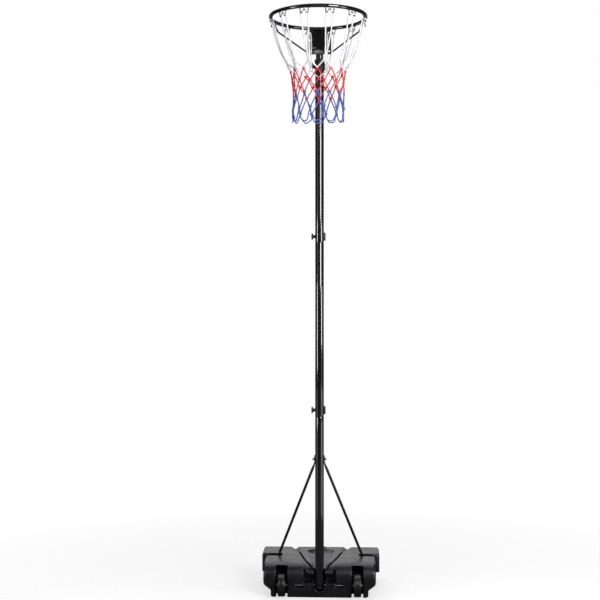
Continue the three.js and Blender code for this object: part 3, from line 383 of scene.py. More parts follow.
def blowMouldedPolyethylene():
    # Blow-moulded black polyethylene: dark grey, a satin skin with fine grain and slow unevenness
    m, place = newMaterial("blowMouldedPolyethylene")
    look = polyethylene
    patches = cloud(m, place, 22.0, 5.0, Roughness=0.6)
    colour = blend(m, stretch(m, patches, 0.35, 0.7, 0.0, 1.0), look["colour"], look["paler"])
    fine = grain(m, place, look["grainMm"], look["grainDepthMm"], 2.0, 0.5)
    wave = cloud(m, place, 16.0, 1.0)
    slow = addNode(m, "Bump", Strength=0.35, Distance=look["waveDepthMm"] / 1000, Height=(wave, "Fac"),
                   Normal=(fine, "Normal"))
    roughness = stretch(m, patches, 0.3, 0.75, look["roughness"] - 0.06, look["roughness"] + 0.1)
    return finishMaterial(m, colour, roughness, slow, IOR=1.5, Specular_Tint=look["tint"])


nylon = {"colour": "#141415", "roughness": 0.36, "grainMm": 0.5, "grainDepthMm": 0.03}
polypropylene = {"colour": "#0f0f10", "roughness": 0.34, "grainMm": 0.5, "grainDepthMm": 0.03}


def mouldedPlastic(name, look):
    # Injection-moulded black plastic: a fine spark grain that breaks up the highlights
    m, place = newMaterial(name)
    roughness = stretch(m, cloud(m, place, 60.0, 4.0), 0.3, 0.7, look["roughness"] - 0.05, look["roughness"] + 0.08)
    bump = grain(m, place, look["grainMm"], look["grainDepthMm"], 2.0, 0.5)
    return finishMaterial(m, look["colour"], roughness, bump, IOR=1.53)


zinc = {"colour": "#c6c8cc", "warm": "#cfcbb4", "roughness": 0.46, "crystalMm": 1.6}


def zincPlatedSteel():
    # Bright zinc with a clear passivate: pale grey metal with a faint straw tint and fine cloudiness
    m, place = newMaterial("zincPlatedSteel")
    crystals = cloud(m, place, 1000 / zinc["crystalMm"], 3.0)
    colour = blend(m, stretch(m, cloud(m, place, 70.0, 2.0), 0.4, 0.75, 0.0, 0.5), zinc["colour"], zinc["warm"])
    roughness = stretch(m, crystals, 0.0, 1.0, zinc["roughness"] - 0.06, zinc["roughness"] + 0.12)
    return finishMaterial(m, colour, roughness, None, Metallic=1.0)


def plainMaterial(name, colour, roughness, sizeMm, depthMm, **more):
    # One colour with a fine relief
    m, place = newMaterial(name)
    return finishMaterial(m, colour, roughness, grain(m, place, sizeMm, depthMm), **more)


cordLook = {"strandMm": 2.4, "depthMm": 0.35, "fuzz": 0.35, "braidAngle": 38, "roughness": 0.72, "sheen": 0.35}


def braidedCord(name, colour, paintedShade):
    # Braided polyester cord: matt yarns that cross in V shapes, with painted shade between them
    m, place = newMaterial(name)
    run = addNode(m, "UVMap", {"uv_map": "run"})
    waves = []
    for slope in (1, -1):
        turned = addNode(m, "Mapping", Vector=(run, "UV"),
                         Rotation=(0, 0, slope * math.radians(cordLook["braidAngle"])))
        waves.append(addNode(m, "TexWave", {"wave_profile": "SIN"}, Vector=(turned, "Vector"),
                             Scale=1000 / cordLook["strandMm"] / 3.2, Distortion=0.6, Detail=1.0))
    braid = addNode(m, "Math", {"operation": "MAXIMUM"}, in0=(waves[0], "Fac"), in1=(waves[1], "Fac"))
    height = addNode(m, "Math", {"operation": "MULTIPLY_ADD"}, in0=(cloud(m, place, 900.0, 4.0), "Fac"),
                     in1=cordLook["fuzz"], in2=(braid, "Value"))
    bump = addNode(m, "Bump", Strength=0.8, Distance=cordLook["depthMm"] / 1000, Height=(height, "Value"))
    # the darker colour between the yarns is painted shade in the braid's crevices
    yarn = blend(m, stretch(m, braid, 0.3, 0.9, 0.0, 1.0, "Value"), paintedShade, colour)
    return finishMaterial(m, yarn, cordLook["roughness"], bump, IOR=1.5, Sheen_Weight=cordLook["sheen"])


# Each finish has its material and the record's slot
blackEnamel = glossBlackEnamel(), "black_gloss_paint"
tankSkin = blowMouldedPolyethylene(), "tank_plastic"
knobNylon = mouldedPlastic("sparkGrainNylon", nylon), "black_plastic"
wheelPlastic = mouldedPlastic("mouldedPolypropylene", polypropylene), "black_plastic"
brightZinc = zincPlatedSteel(), "zinc_plate"
# Nitrile rubber of the seal: matt black with a dusty bloom
sealRubber = plainMaterial("nitrileRubber", "#1a1a1a", 0.78, 0.4, 0.03, IOR=1.52), "seal_rubber"
# The filling: still water, clear and faintly blue in depth
tapWater = plainMaterial("tapWater", "#9fb6c2", 0.05, 30.0, 0.3, IOR=1.333, Transmission_Weight=0.8)
fillingWater = tapWater, "ballast_water"
# each cord's second colour is the painted shade between its yarns
cordFinish = {
    "white": (braidedCord("braidedCordWhite", "#fafafd", "#d6d5e6"), "cord_white"),
    "red": (braidedCord("braidedCordRed", "#ee3843", "#b3202e"), "cord_red"),
    "blue": (braidedCord("braidedCordBlue", "#5266c8", "#33429c"), "cord_blue"),
}
print("materials made")


# Values shared by several pieces, in metres

post = {
    "poleRadius": 0.019, "poleWall": 0.0015, "lowerSeam": 0.785, "upperSeam": 1.543, "mouth": 2.334,
    "neckLength": 0.075, "innerRadius": 0.016, "axleHeight": 0.052,
    "gap": 0.0003,  # left free between parts that fit together
    "knobHeights": {"lower": 0.814, "middle": 1.568, "top": 2.308},
}
ringRadius, rodRadius = 0.198, 0.008
stayDrop = 0.0083  # from the ring's middle down to the stays' upper ends
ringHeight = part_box("ring_brace_left")[1].z + stayDrop
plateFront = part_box("bracket_plate")[0].y
ringCentre = Vector((0, plateFront - post["gap"] - rodRadius - ringRadius, ringHeight))


# Poles

def tubePart(outer, low, high, edge, crimp=(0.002, 0)):
    # A tube with rounded ends. A swaged end narrows a little: crimp is its length and how much.
    inner = outer - post["poleWall"]
    length, inset = crimp
    return revolve(ringProfile([(inner, low), (outer, low), (outer, high - length), (outer - inset, high),
                                (inner, high)], edge), 56)


def buildPoles():
    radius, gap = post["poleRadius"], post["gap"]
    seams = post["lowerSeam"], post["upperSeam"]
    necks = [tubePart(radius - post["poleWall"] - gap, seam - 0.01, seam + post["neckLength"], 0.0006)
             for seam in seams]
    lower = tubePart(radius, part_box("lower_pole")[0].z, seams[0], 0.0005, (0.004, 0.00065))
    middle = tubePart(radius, seams[0] + gap, seams[1], 0.0005, (0.0025, 0.0009))
    make("lowerTube", joined([lower, necks[0]]), blackEnamel, "post", "lower_pole")
    make("middleTube", joined([middle, necks[1]]), blackEnamel, "post", "middle_pole")
    make("upperTube", tubePart(radius, seams[1] + gap, post["mouth"], 0.001), blackEnamel, "post", "upper_pole")
    low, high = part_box("inner_pole")
    make("slidingTube", tubePart(post["innerRadius"], low.z, high.z, 0.0006), blackEnamel, "hoop", "inner_pole")


buildPoles()
print("poles built")


# Knobs, saddles and the top collar

knobLook = {"reach": 0.0162, "gripWidth": 0.0056, "gripRadius": 0.015, "neckRadius": 0.007, "lobes": 6,
            "lobeDepth": 0.0014}
saddleLook = {"start": 0.006, "bevel": 0.0035, "socket": 0.0085, "socketDepth": 0.0055, "head": 0.0074}
collarLook = {"outer": 0.0213, "bore": 0.01935, "throat": 0.0172, "guide": 0.01652, "guideLength": 0.03,
              "cheek": 0.013}


def knobPart(start, height):
    # A spool with soft lobes, turned on X to the left of the pole
    outer = post["poleRadius"] + knobLook["reach"]
    inner = outer - knobLook["gripWidth"]
    grip, neck = knobLook["gripRadius"], knobLook["neckRadius"]

    def lobed(radius, along, a):
        share = max(0.0, min(1.0, (radius - neck * 1.3) / (grip - neck * 1.3)))
        return radius - share * knobLook["lobeDepth"] * (0.5 + 0.5 * math.cos(knobLook["lobes"] * a)) ** 2

    profile = [(0, start), (neck + 0.0014, start), (neck, start + 0.003), (neck, inner - 0.003),
               (grip - 0.001, inner), (grip, inner + 0.0015), (grip, outer - 0.0018), (grip - 0.0022, outer),
               (neck * 0.8, outer - 0.0002), (neck * 0.72, outer - 0.0011), (0, outer - 0.0011)]
    return revolve(rounded(profile, 0.001), 72, "X", (0, 0, height), True, lobed)


def buildKnobs():
    starts = {"lower": post["poleRadius"] + post["gap"], "middle": post["poleRadius"] + post["gap"],
              "top": -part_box("clamp_knob")[1].x}
    for height, name, node in (("lower", "lowerKnobGrip", "lower_knob"), ("middle", "middleKnobGrip", "middle_knob"),
                               ("top", "clampKnobGrip", "clamp_knob")):
        make(name, knobPart(starts[height], post["knobHeights"][height]), knobNylon, node, node)


def saddlePiece(name, height, halfWidth, halfHeight, outer):
    # A block with round edges that sits on the pole
    piece = meshPiece(name, *slab((saddleLook["start"], -halfWidth, height - halfHeight),
                                  (outer, halfWidth, height + halfHeight)))
    bevelled(piece, saddleLook["bevel"], 4)
    return combine(piece, rodPart(post["poleRadius"] + post["gap"], height - 0.1, height + 0.1, 56), "DIFFERENCE")


def buildSaddles():
    outer = post["poleRadius"] + saddleLook["head"]
    for name in ("lower", "middle"):
        low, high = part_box(f"{name}_saddle")
        height = (low.z + high.z) / 2
        piece = saddlePiece(f"{name}SaddleBlock", height, high.y, high.z - height, high.x)
        socket = (high.x - saddleLook["socketDepth"], 0, height)
        combine(piece, rodPart(saddleLook["socket"], 0, 0.1, 32, "X", socket), "DIFFERENCE")
        piece.data.set_sharp_from_angle(angle=math.radians(40))
        dress(piece, knobNylon, "post", f"{name}_saddle")
        shank = revolve([(0, -0.032), (0.0036, -0.032), (0.004, -0.031), (0.004, outer - 0.004), (0, outer - 0.004)],
                        32, "X", (0, 0, height))
        head = revolve(rounded([(0, outer - 0.005), (0.008, outer - 0.005), (0.008, outer - 0.0028),
                                (0.0052, outer - 0.0006), (0, outer)], 0.0008), 40, "X", (0, 0, height))
        make(f"{name}CarriageBolt", joined([shank, head]), brightZinc, "post", f"{name}_bolt")
    low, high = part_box("clamp_screw")
    part = revolve(rounded([(0, low.x), (0.0036, low.x), (0.004, low.x + 0.0008), (0.004, high.x - 0.001),
                            (0.0032, high.x), (0, high.x)], 0.0004), 32, "X", (0, 0, post["knobHeights"]["top"]))
    make("clampScrewShank", part, brightZinc, "clamp_knob", "clamp_screw")


def buildCollar():
    low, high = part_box("top_collar")
    outer, bore, throat, guide = (collarLook[key] for key in ("outer", "bore", "throat", "guide"))
    seat, guideLow = post["mouth"] + post["gap"], post["mouth"] - collarLook["guideLength"]
    sleeve = revolve(ringProfile([(guide, guideLow), (throat, guideLow), (throat, seat), (bore, seat), (bore, low.z),
                                  (outer, low.z), (outer + 0.0004, low.z + 0.003), (outer, low.z + 0.005),
                                  (outer, high.z - 0.002), (outer - 0.0015, high.z), (guide + 0.0006, high.z),
                                  (guide, high.z - 0.0006)], 0.0004), 56)
    height, half = post["knobHeights"]["top"], collarLook["cheek"]
    boss = revolve(rounded([(0, 0.0195), (0.0095, 0.0195), (0.009, 0.0235), (0.009, 0.0253), (0.0048, 0.0253),
                            (0.0048, 0.02), (0, 0.02)], 0.0008), 48, "X", (0, 0, height), True)
    cheek = asPart(saddlePiece("cheek", height, half, half, high.x))
    make("mouthCollar", joined([sleeve, cheek, boss]), knobNylon, "post", "top_collar")


buildKnobs()
buildSaddles()
buildCollar()
print("knobs, saddles and collar built")


# Caps, guide and foot

def buildCaps():
    low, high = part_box("inner_pole_cap")
    rim, plug = post["innerRadius"], 0.0142
    part = revolve(rounded([(0, low.z), (plug, low.z), (plug, high.z - 0.004), (rim, high.z - 0.004),
                            (rim, high.z - 0.0026), (rim * 0.8, high.z - 0.0008), (0, high.z)], 0.0012))
    make("tubeCap", part, knobNylon, "hoop", "inner_pole_cap")
    low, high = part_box("foot_cap")
    rim, plug = post["poleRadius"], 0.0172
    part = revolve(rounded([(0, low.z), (rim * 0.7, low.z + 0.0008), (rim, low.z + 0.003), (rim, low.z + 0.005),
                            (plug, low.z + 0.005), (plug, high.z), (0, high.z)], 0.0015))
    make("footPlug", part, knobNylon, "post", "foot_cap")
    low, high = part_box("guide_bush")
    bore, outer, step = 0.0127, 0.0172, 0.0142
    part = revolve(ringProfile([(bore, low.z), (outer, low.z), (outer, low.z + 0.01), (step, low.z + 0.01),
                                (step, high.z), (bore, high.z)], 0.0006))
    make("slideBush", part, knobNylon, "hoop", "guide_bush")


buildCaps()
print("caps built")


# Bolts and nuts

boltLook = {"radius": 0.004, "hexRadius": 0.0075, "head": 0.0065, "nut": 0.0062, "end": 0.0068, "pitch": 0.00125}


def hexHead(start, height, origin, flip=False):
    # A hexagon with chamfered corners, made on X
    radius = boltLook["hexRadius"]
    inner, chamfer = radius * 0.9, height * 0.14

    def hexReach(r, along, a):
        flat = radius * math.cos(math.pi / 6)
        local = (a % (math.pi / 3)) - math.pi / 6
        return min(r, flat / math.cos(local)) if r > flat else r

    profile = [(0, start), (inner, start), (radius, start + chamfer), (radius, start + height - chamfer),
               (inner, start + height), (0, start + height)]
    return revolve(profile, 72, "X", origin, flip, hexReach)


def threadedEnd(start, end, origin):
    # Rounded thread crests
    profile = [(0, start)]
    along = start
    while along < end - 0.0006:
        profile += [(0.0039, along), (0.0034, along + 0.0006)]
        along += boltLook["pitch"]
    return revolve(profile + [(0.003, end), (0, end)], 24, "X", origin, True)


def crossBolt(boltName, nutName, body, outer, boltNode, nutNode):
    # A bolt along X with its nut, each outer metres from the middle
    low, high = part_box(boltNode)
    origin = (0, 0, (low.z + high.z) / 2)
    head = hexHead(outer, boltLook["head"], origin)
    shank = rodPart(boltLook["radius"], -outer, outer + 0.001, 24, "X", origin)
    end = threadedEnd(outer - 0.0005, outer + boltLook["end"], origin)
    make(boltName, joined([head, shank, end]), brightZinc, body, boltNode)
    make(nutName, hexHead(outer, boltLook["nut"], origin, True), brightZinc, body, nutNode)


def buildBolts():
    crossBolt("braceBoltZinc", "braceNutZinc", "post", 0.0236, "brace_bolt", "brace_nut")
    for name in ("upper", "lower"):
        crossBolt(f"{name}BracketBolt", f"{name}BracketNut", "hoop", 0.0191, f"bracket_bolt_{name}",
                  f"bracket_nut_{name}")


buildBolts()
print("bolts built")


# Braces

braceLook = {
    "radius": 0.006, "tabHalfWidth": 0.011, "tabHalfThickness": 0.002, "boltHeight": 0.602, "tabTip": 0.006,
    "tabTail": 0.026, "footX": 0.211, "footY": 0.195, "footTab": 0.022,
}


def ovalRing(centre, direction, wide, halfWidth, halfThickness, sides=28):
    # A ring that is round where it is as thick as wide, and squarer where it is flat
    across = (wide - direction * wide.dot(direction)).normalized()
    lift = direction.cross(across).normalized()
    power = 1 - 0.45 * (1 - min(1.0, halfThickness / halfWidth))
    ring = []
    for k in range(sides):
        a = 2 * math.pi * (k + 0.5) / sides
        c, s = math.cos(a), math.sin(a)
        s = math.copysign(abs(s) ** power, s)
        ring.append(centre + across * halfWidth * c + lift * halfThickness * s)
    return ring


def bracePart(side):
    look = braceLook
    w, t, r = look["tabHalfWidth"], look["tabHalfThickness"], look["radius"]
    taper = 0.026  # length over which the tube flattens
    start = Vector((0.0213, 0, look["boltHeight"]))
    foot = Vector((look["footX"], look["footY"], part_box("brace_screw_left")[1].z - 0.0063))
    run = foot - start
    topRun = Vector((0, run.y, run.z)).normalized()
    footRun = Vector((run.x, run.y, 0)).normalized()
    topBend = start + topRun * look["tabTail"] + Vector((0.0013, 0, 0))
    footBend = foot - footRun * look["footTab"] + Vector((0, 0, r - t))
    rodRun = (footBend - topBend).normalized()
    length = (footBend - topBend).length - 2 * taper
    topWide = Vector((1, 0, 0)).cross(topRun).normalized()
    footWide = Vector((0, 0, 1)).cross(footRun).normalized()
    tip = [math.pi / 2 * 0.96 * k / 7 for k in range(1, 8)]  # angles of a tab's round end
    places = [(start - topRun * (look["tabTip"] + w * math.sin(a)), topRun, topWide, w * math.cos(a) + 0.0006, t)
              for a in reversed(tip)]
    places += [(start - topRun * look["tabTip"], topRun, topWide, w, t),
               (start + topRun * w, topRun, topWide, w, t),
               (start + topRun * w * 1.7, topRun, topWide, w * 0.97, t * 1.1),
               (topBend, (topRun + rodRun).normalized(), topWide, 0.0094, 0.003),
               (topBend + rodRun * taper * 0.5, rodRun, topWide, 0.0074, 0.0047)]
    places += [(topBend + rodRun * (taper + length * k / 12), rodRun, topWide.lerp(footWide, k / 12), r, r)
               for k in range(13)]
    places += [(footBend - rodRun * taper * 0.5, rodRun, footWide, 0.0074, 0.0047),
               (footBend, (footRun + rodRun).normalized(), footWide, 0.0094, 0.003),
               (foot - footRun * w, footRun, footWide, w, t),
               (foot, footRun, footWide, w, t)]
    places += [(foot + footRun * w * math.sin(a), footRun, footWide, w * math.cos(a) + 0.0006, t) for a in tip]
    return loftRings([[Vector((side * p.x, p.y, p.z)) for p in ovalRing(*place)] for place in places]), foot


def buildBraces():
    for name, side in (("left", -1), ("right", 1)):
        part, foot = bracePart(side)
        make(f"{name}Brace", part, blackEnamel, "post", f"brace_{name}", 55)
        seat = foot.z + 0.0023
        origin = (side * foot.x, foot.y, 0)
        head = revolve(rounded([(0, seat), (0.007, seat), (0.0072, seat + 0.0012), (0.005, seat + 0.0032),
                                (0, seat + 0.004)], 0.0008), 40, origin=origin)
        shank = revolve([(0, foot.z - 0.021), (0.0014, foot.z - 0.021), (0.003, foot.z - 0.017),
                         (0.003, seat + 0.0005), (0, seat + 0.0005)], 24, origin=origin)
        screw = meshPiece(f"{name}FootScrew", *joined([head, shank]))
        for turn in (0, math.pi / 2):  # the driver's cross
            verts, faces = slab((-0.003, -0.0006, seat + 0.0022), (0.003, 0.0006, seat + 0.006))
            place = Matrix.Translation(origin) @ Matrix.Rotation(turn, 4, "Z")
            combine(screw, ([place @ v for v in verts], faces), "DIFFERENCE")
        screw.data.set_sharp_from_angle(angle=math.radians(35))
        dress(screw, brightZinc, "post", f"brace_screw_{name}")


buildBraces()
print("braces built")


# Wheels and axle

wheelLook = {"radius": 0.0495, "half": 0.016, "centre": 0.165, "hub": 0.014, "web": 0.005, "rim": 0.0405, "ribs": 8}


def wheelPart(origin):
    look = wheelLook
    r, half, hub, rim, web = (look[key] for key in ("radius", "half", "hub", "rim", "web"))
    tread = [(rim, half), (rim + 0.001, half), (r - 0.003, half), (r, half - 0.004)]
    for groove in (0.006, -0.006):  # two shallow rings moulded in the tread
        tread += [(r, groove + 0.0012), (r - 0.0007, groove + 0.0006), (r - 0.0007, groove - 0.0006),
                  (r, groove - 0.0012)]
    tread += [(r, -half + 0.004), (r - 0.003, -half), (rim, -half)]
    bore, hubEnd = 0.0043, half + 0.0015
    corners = [(bore, hubEnd), (hub, hubEnd), (hub + 0.001, web), (rim - 0.001, web)] + tread
    corners += [(rim - 0.001, -web), (hub + 0.001, -web), (hub, -hubEnd), (bore, -hubEnd)]
    parts = [revolve(ringProfile(corners, 0.0009), 72, "X", origin)]
    for k in range(look["ribs"]):
        verts, faces = slab((-half + 0.002, hub - 0.002, -0.0014), (half - 0.002, rim + 0.001, 0.0014))
        turn = Matrix.Rotation(2 * math.pi * (k + 0.5) / look["ribs"], 4, "X")
        parts.append(([turn @ v + Vector(origin) for v in verts], faces))
    return joined(parts)


def buildWheels():
    height = post["axleHeight"]
    for name, side in (("left", -1), ("right", 1)):
        make(f"{name}Wheel", wheelPart((side * wheelLook["centre"], 0, height)), wheelPlastic, f"wheel_{name}",
             f"wheel_{name}")
        low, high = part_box(f"axle_clip_{name}")
        clip = revolve(rounded([(0.0042, 0.0), (0.0042, 0.0016), (0.0062, 0.0019), (0.0078, 0.0004), (0.008, -0.0004),
                                (0.0064, 0.0008), (0.0042, 0.0006), (0.0042, -1e-5)], 0.0003)[1:-1], 40, "X",
                       ((low.x + high.x) / 2, 0, height), side < 0)
        make(f"{name}PushClip", clip, brightZinc, "post", f"axle_clip_{name}")
    low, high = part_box("axle")
    rod = revolve(rounded([(0, low.x), (0.004, low.x), (0.004, high.x), (0, high.x)], 0.0008), 32, "X",
                  (0, 0, height))
    make("axleRod", rod, brightZinc, "post", "axle")


buildWheels()
print("wheels built")


# Ring, hooks and stays

hoopLook = {"wire": 0.002, "hooks": 12, "pitch": 0.0125, "bend": 0.0036, "drop": 0.0275, "peak": 0.0125}


def aroundRing(degrees, radius, height, sideways=0.0):
    a = math.radians(degrees)
    point = ringCentre + Vector((radius * math.sin(a), -radius * math.cos(a), height))
    return point + sideways * Vector((math.cos(a), math.sin(a), 0))


hookAngles = [(k + 0.5) * 360 / hoopLook["hooks"] for k in range(hoopLook["hooks"])]


def hookPath(degrees):
    pitch, bend, drop, peak = (hoopLook[key] for key in ("pitch", "bend", "drop", "peak"))
    places = [(-pitch - bend - 0.002, -0.005)]
    for centre, level, sign in ((-pitch, bend - drop, -1), (0, -peak - bend, 1), (pitch, bend - drop, -1)):
        for step in range(9):
            a = math.pi * (1 - step / 8)
            places.append((centre + bend * math.cos(a), level + sign * bend * math.sin(a)))
    places.append((pitch + bend + 0.002, -0.005))
    return [aroundRing(degrees, ringRadius, z, s) for s, z in places]


def buildRing():
    parts = [sweep([aroundRing(360 * k / 144, ringRadius, 0) for k in range(144)], rodRadius, 24, closed=True)]
    for degrees in hookAngles:
        parts.append(sweep(hookPath(degrees), hoopLook["wire"]))
        for side in (-1, 1):  # weld beads where the wire meets the rod
            s = side * (hoopLook["pitch"] + hoopLook["bend"] + 0.002)
            parts.append(sweep([aroundRing(degrees, ringRadius + out, -0.0078 - abs(out) * 0.1, s)
                                for out in (-0.0022, 0, 0.0022)], 0.0024, 8))
    weld = [aroundRing(180 + 2.2 * k, ringRadius + 0.0072, -0.001) for k in (-2, -1, 0, 1, 2)]
    parts.append(sweep(weld, 0.0022, 8))
    make("steelRing", joined(parts), blackEnamel, "hoop", "ring")


stayLook = {"radius": 0.0036, "startAngle": 111, "bend": (0.172, -0.142, -0.039), "foot": (0.047, 0.0065),
            "landing": 0.017}


def buildStays():
    look = stayLook
    start = aroundRing(look["startAngle"], ringRadius, -stayDrop)
    inset = start + (ringCentre + Vector((0, 0, -0.01)) - start).normalized() * -0.001
    bend = Vector((look["bend"][0], look["bend"][1], ringHeight + look["bend"][2]))
    foot = Vector((look["foot"][0], plateFront - post["gap"] - look["radius"],
                   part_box("bracket_plate")[0].z + look["foot"][1]))
    footRun = foot - bend
    footRun.y = 0
    landing = foot - footRun.normalized() * look["landing"]
    for name, side in (("left", -1), ("right", 1)):
        points = [Vector((side * p.x, p.y, p.z)) for p in (inset, bend, landing, foot)]
        bead = [points[-1] + (points[-2] - points[-1]) * k / 3 + Vector((0, 0.0012, -0.0026)) for k in range(3)]
        parts = [sweep(rounded(points, 0.009, 6, 0.48), look["radius"], 14), sweep(bead, 0.0019, 8)]
        make(f"{name}Stay", joined(parts), blackEnamel, "hoop", f"ring_brace_{name}")


buildRing()
buildStays()
print("ring and stays built")


# Bracket plate and channel

plateLook = {"thickness": 0.003, "hole": 0.004, "spread": 0.084, "drops": (0.016, 0.048, 0.096), "corner": 0.006}
channelLook = {"inner": 0.0163, "wall": 0.0025}


def buildBracket():
    low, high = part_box("bracket_plate")
    plate = meshPiece("ringPlate", *slab(low, high))
    weights = plate.data.attributes.new("bevel_weight_edge", "FLOAT", "EDGE")
    for edge in plate.data.edges:
        a, b = (plate.data.vertices[i].co for i in edge.vertices)
        weights.data[edge.index].value = 1.0 if abs(a.y - b.y) > plateLook["thickness"] / 2 else 0.0
    modify(plate, "BEVEL", width=plateLook["corner"], segments=6, limit_method="WEIGHT")
    for drop in plateLook["drops"]:
        for side in (-1, 1):
            place = (side * plateLook["spread"] / 2, low.y, ringHeight - drop)
            combine(plate, rodPart(plateLook["hole"], -0.01, 0.01, 36, "Y", place), "DIFFERENCE")
    bevelled(plate, 0.0005, 2, 40)
    dress(plate, blackEnamel, "hoop", "bracket_plate")

    low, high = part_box("hoop_bracket")
    inner, wall = channelLook["inner"], channelLook["wall"]
    outer, back = inner + wall, low.y + wall
    right = [(high.x, low.y), (high.x, back), (outer + 0.002, back), (outer, back + 0.002), (outer, high.y),
             (inner, high.y), (inner, back + 0.0035), (inner - 0.0015, back)]
    outline = right + [(-x, y) for x, y in reversed(right)]
    rings = [[Vector((x, y, z)) for x, y in outline] for z in (low.z, high.z)]
    channel = bevelled(meshPiece("boltedChannel", *loftRings(rings)), 0.0005, 2, 50)
    dress(channel, blackEnamel, "hoop", "hoop_bracket")


buildBracket()
print("bracket built")


# Net

netLook = {
    "cord": {"white": 0.0029, "red": 0.0025, "blue": 0.0025},
    "rows": {"first": (0.194, 0.134), "second": (0.226, 0.114), "third": (0.276, 0.106), "fourth": (0.322, 0.104),
             "fifth": (0.385, 0.109), "hem": (0.446, 0.107)},  # drop under the ring, radius
    "wander": 0.0035,  # how far a knot strays from its even place
    "knot": 0.0021, "slack": 0.002,
    "hemStray": 0.003, "hemRise": 0.0105,  # the hem hangs higher at the back
    "hemLine": ((0.1, 0.5), (0.26, 0.88), (0.5, 1.0), (0.74, 0.88), (0.9, 0.5)),  # share along, share down
}
chance = random.Random(7)
hookPitch = 360 / hoopLook["hooks"]
knotPlaces = {}


def knotPlace(degrees, row):
    key = (round(degrees % 360, 1), row)
    if key not in knotPlaces:
        drop, radius = netLook["rows"][row]
        stray = netLook["wander"]
        knotPlaces[key] = aroundRing(degrees + chance.uniform(-1, 1) * 1.6, radius + chance.uniform(-1, 1) * stray,
                                     -drop + chance.uniform(-1, 1) * stray)
    return knotPlaces[key].copy()


def knotPart(place, cord, degrees):
    # A small overhand knot: a closed trefoil that the cords leave from
    turn = Matrix.Rotation(math.radians(degrees), 3, "Z")
    points = []
    for k in range(30):
        t = 2 * math.pi * k / 30
        local = Vector((math.sin(t) + 2 * math.sin(2 * t), -math.sin(3 * t) * 0.9, math.cos(t) - 2 * math.cos(2 * t)))
        points.append(place + turn @ (local * netLook["knot"]))
    return sweep(points, cord, 8, closed=True)


def cordBetween(start, end, cord):
    # A nearly taut cord with a little sag and sway
    sway = Vector((chance.uniform(-1, 1), chance.uniform(-1, 1), -chance.uniform(0, 1))) * netLook["slack"]
    points = [start, start.lerp(end, 0.3) + sway * 0.8, (start + end) / 2 + sway, start.lerp(end, 0.75) + sway * 0.6,
              end]
    return sweep(smoothPath(points), cord, 8)


def hangingLoop(degrees, cord):
    # A loop over a hook's two bends, whose sides meet in the first row's knot
    pitch, drop = hoopLook["pitch"], hoopLook["drop"]
    seat = -drop + hoopLook["wire"] + 0.0002 + cord
    rowDrop, rowRadius = netLook["rows"]["first"]
    top = ringRadius - 0.006
    local = knotPlace(degrees, "first") - aroundRing(degrees, rowRadius, -rowDrop)

    def half(sign):
        points = [aroundRing(degrees, ringRadius + out, seat + rise, sign * pitch * share)
                  for out, rise, share in ((0.0058, -0.0016, 0.35), (0.0042, -0.0002, 0.86), (0, 0, 1),
                                           (-0.0042, -0.003, 1.04))]
        for share, side in ((0.06, 1.15), (0.25, 1.05), (0.45, 0.86), (0.65, 0.6), (0.85, 0.32), (1.0, 0.1)):
            bulge = 0.55 * (ringRadius - rowRadius) * share * (1 - share)
            radius = top + (rowRadius - top) * share + bulge
            points.append(aroundRing(degrees, radius, -drop - (rowDrop - drop) * share, sign * pitch * side)
                          + local * share)
        return points

    return sweep(smoothPath(list(reversed(half(-1))) + half(1)), cord, 8)


def hemPart(here, cord):
    # One sagging arc of the net's lower edge
    hemDrop, hemRadius = netLook["rows"]["hem"]
    rowDrop, rowRadius = netLook["rows"]["fifth"]
    stray = netLook["hemStray"]
    points = [knotPlace(here, "fifth")]
    end = knotPlace(here + hookPitch, "fifth")
    for along, down in netLook["hemLine"]:
        degrees = here + hookPitch * along
        rise = netLook["hemRise"] * (1 - math.cos(math.radians(degrees)))
        even = aroundRing(degrees, rowRadius + (hemRadius - rowRadius) * down,
                          -rowDrop - (hemDrop - stray - rowDrop - rise) * down)
        points.append(even + Vector((chance.uniform(-1, 1), chance.uniform(-1, 1), chance.uniform(-1, 0.4))) * stray)
    return sweep(smoothPath(points + [end]), cord, 8)


def buildNet():
    white, red, blue = (netLook["cord"][colour] for colour in ("white", "red", "blue"))
    parts = {"white": [], "red": [], "blue": []}
    places = [(here, here - hookPitch / 2, here + hookPitch / 2) for here in hookAngles]
    for here, left, right in places:
        first, second = knotPlace(here, "first"), knotPlace(right, "second")
        parts["white"] += [hangingLoop(here, white), knotPart(first, white * 0.9, here),
                           cordBetween(first, second, white),
                           cordBetween(first, knotPlace(left, "second"), white)]
        parts["red"].append(knotPart(second, white * 0.85, right))
    for here, left, right in places:
        third, fourth = knotPlace(here, "third"), knotPlace(right, "fourth")
        parts["red"] += [cordBetween(knotPlace(left, "second").lerp(third, 0.1), third, red),
                         cordBetween(knotPlace(right, "second").lerp(third, 0.1), third, red),
                         knotPart(third, red * 0.9, here),
                         cordBetween(third, knotPlace(left, "fourth"), red),
                         cordBetween(third, fourth, red)]
        near = math.cos(math.radians(right)) > 0  # the dye runs on into the near knots
        parts["blue" if near else "red"].append(knotPart(fourth, red * 0.9, right))
    for here, left, right in places:
        fifth = knotPlace(here, "fifth")
        parts["blue"] += [cordBetween(knotPlace(left, "fourth").lerp(fifth, 0.08), fifth, blue),
                          cordBetween(knotPlace(right, "fourth").lerp(fifth, 0.08), fifth, blue),
                          knotPart(fifth, blue * 0.9, here), hemPart(here, blue)]
    for colour in parts:
        make(f"{colour}Net", joined(parts[colour], True), cordFinish[colour], "hoop", f"net_{colour}", 80)


buildNet()
print("net built")


# Tank

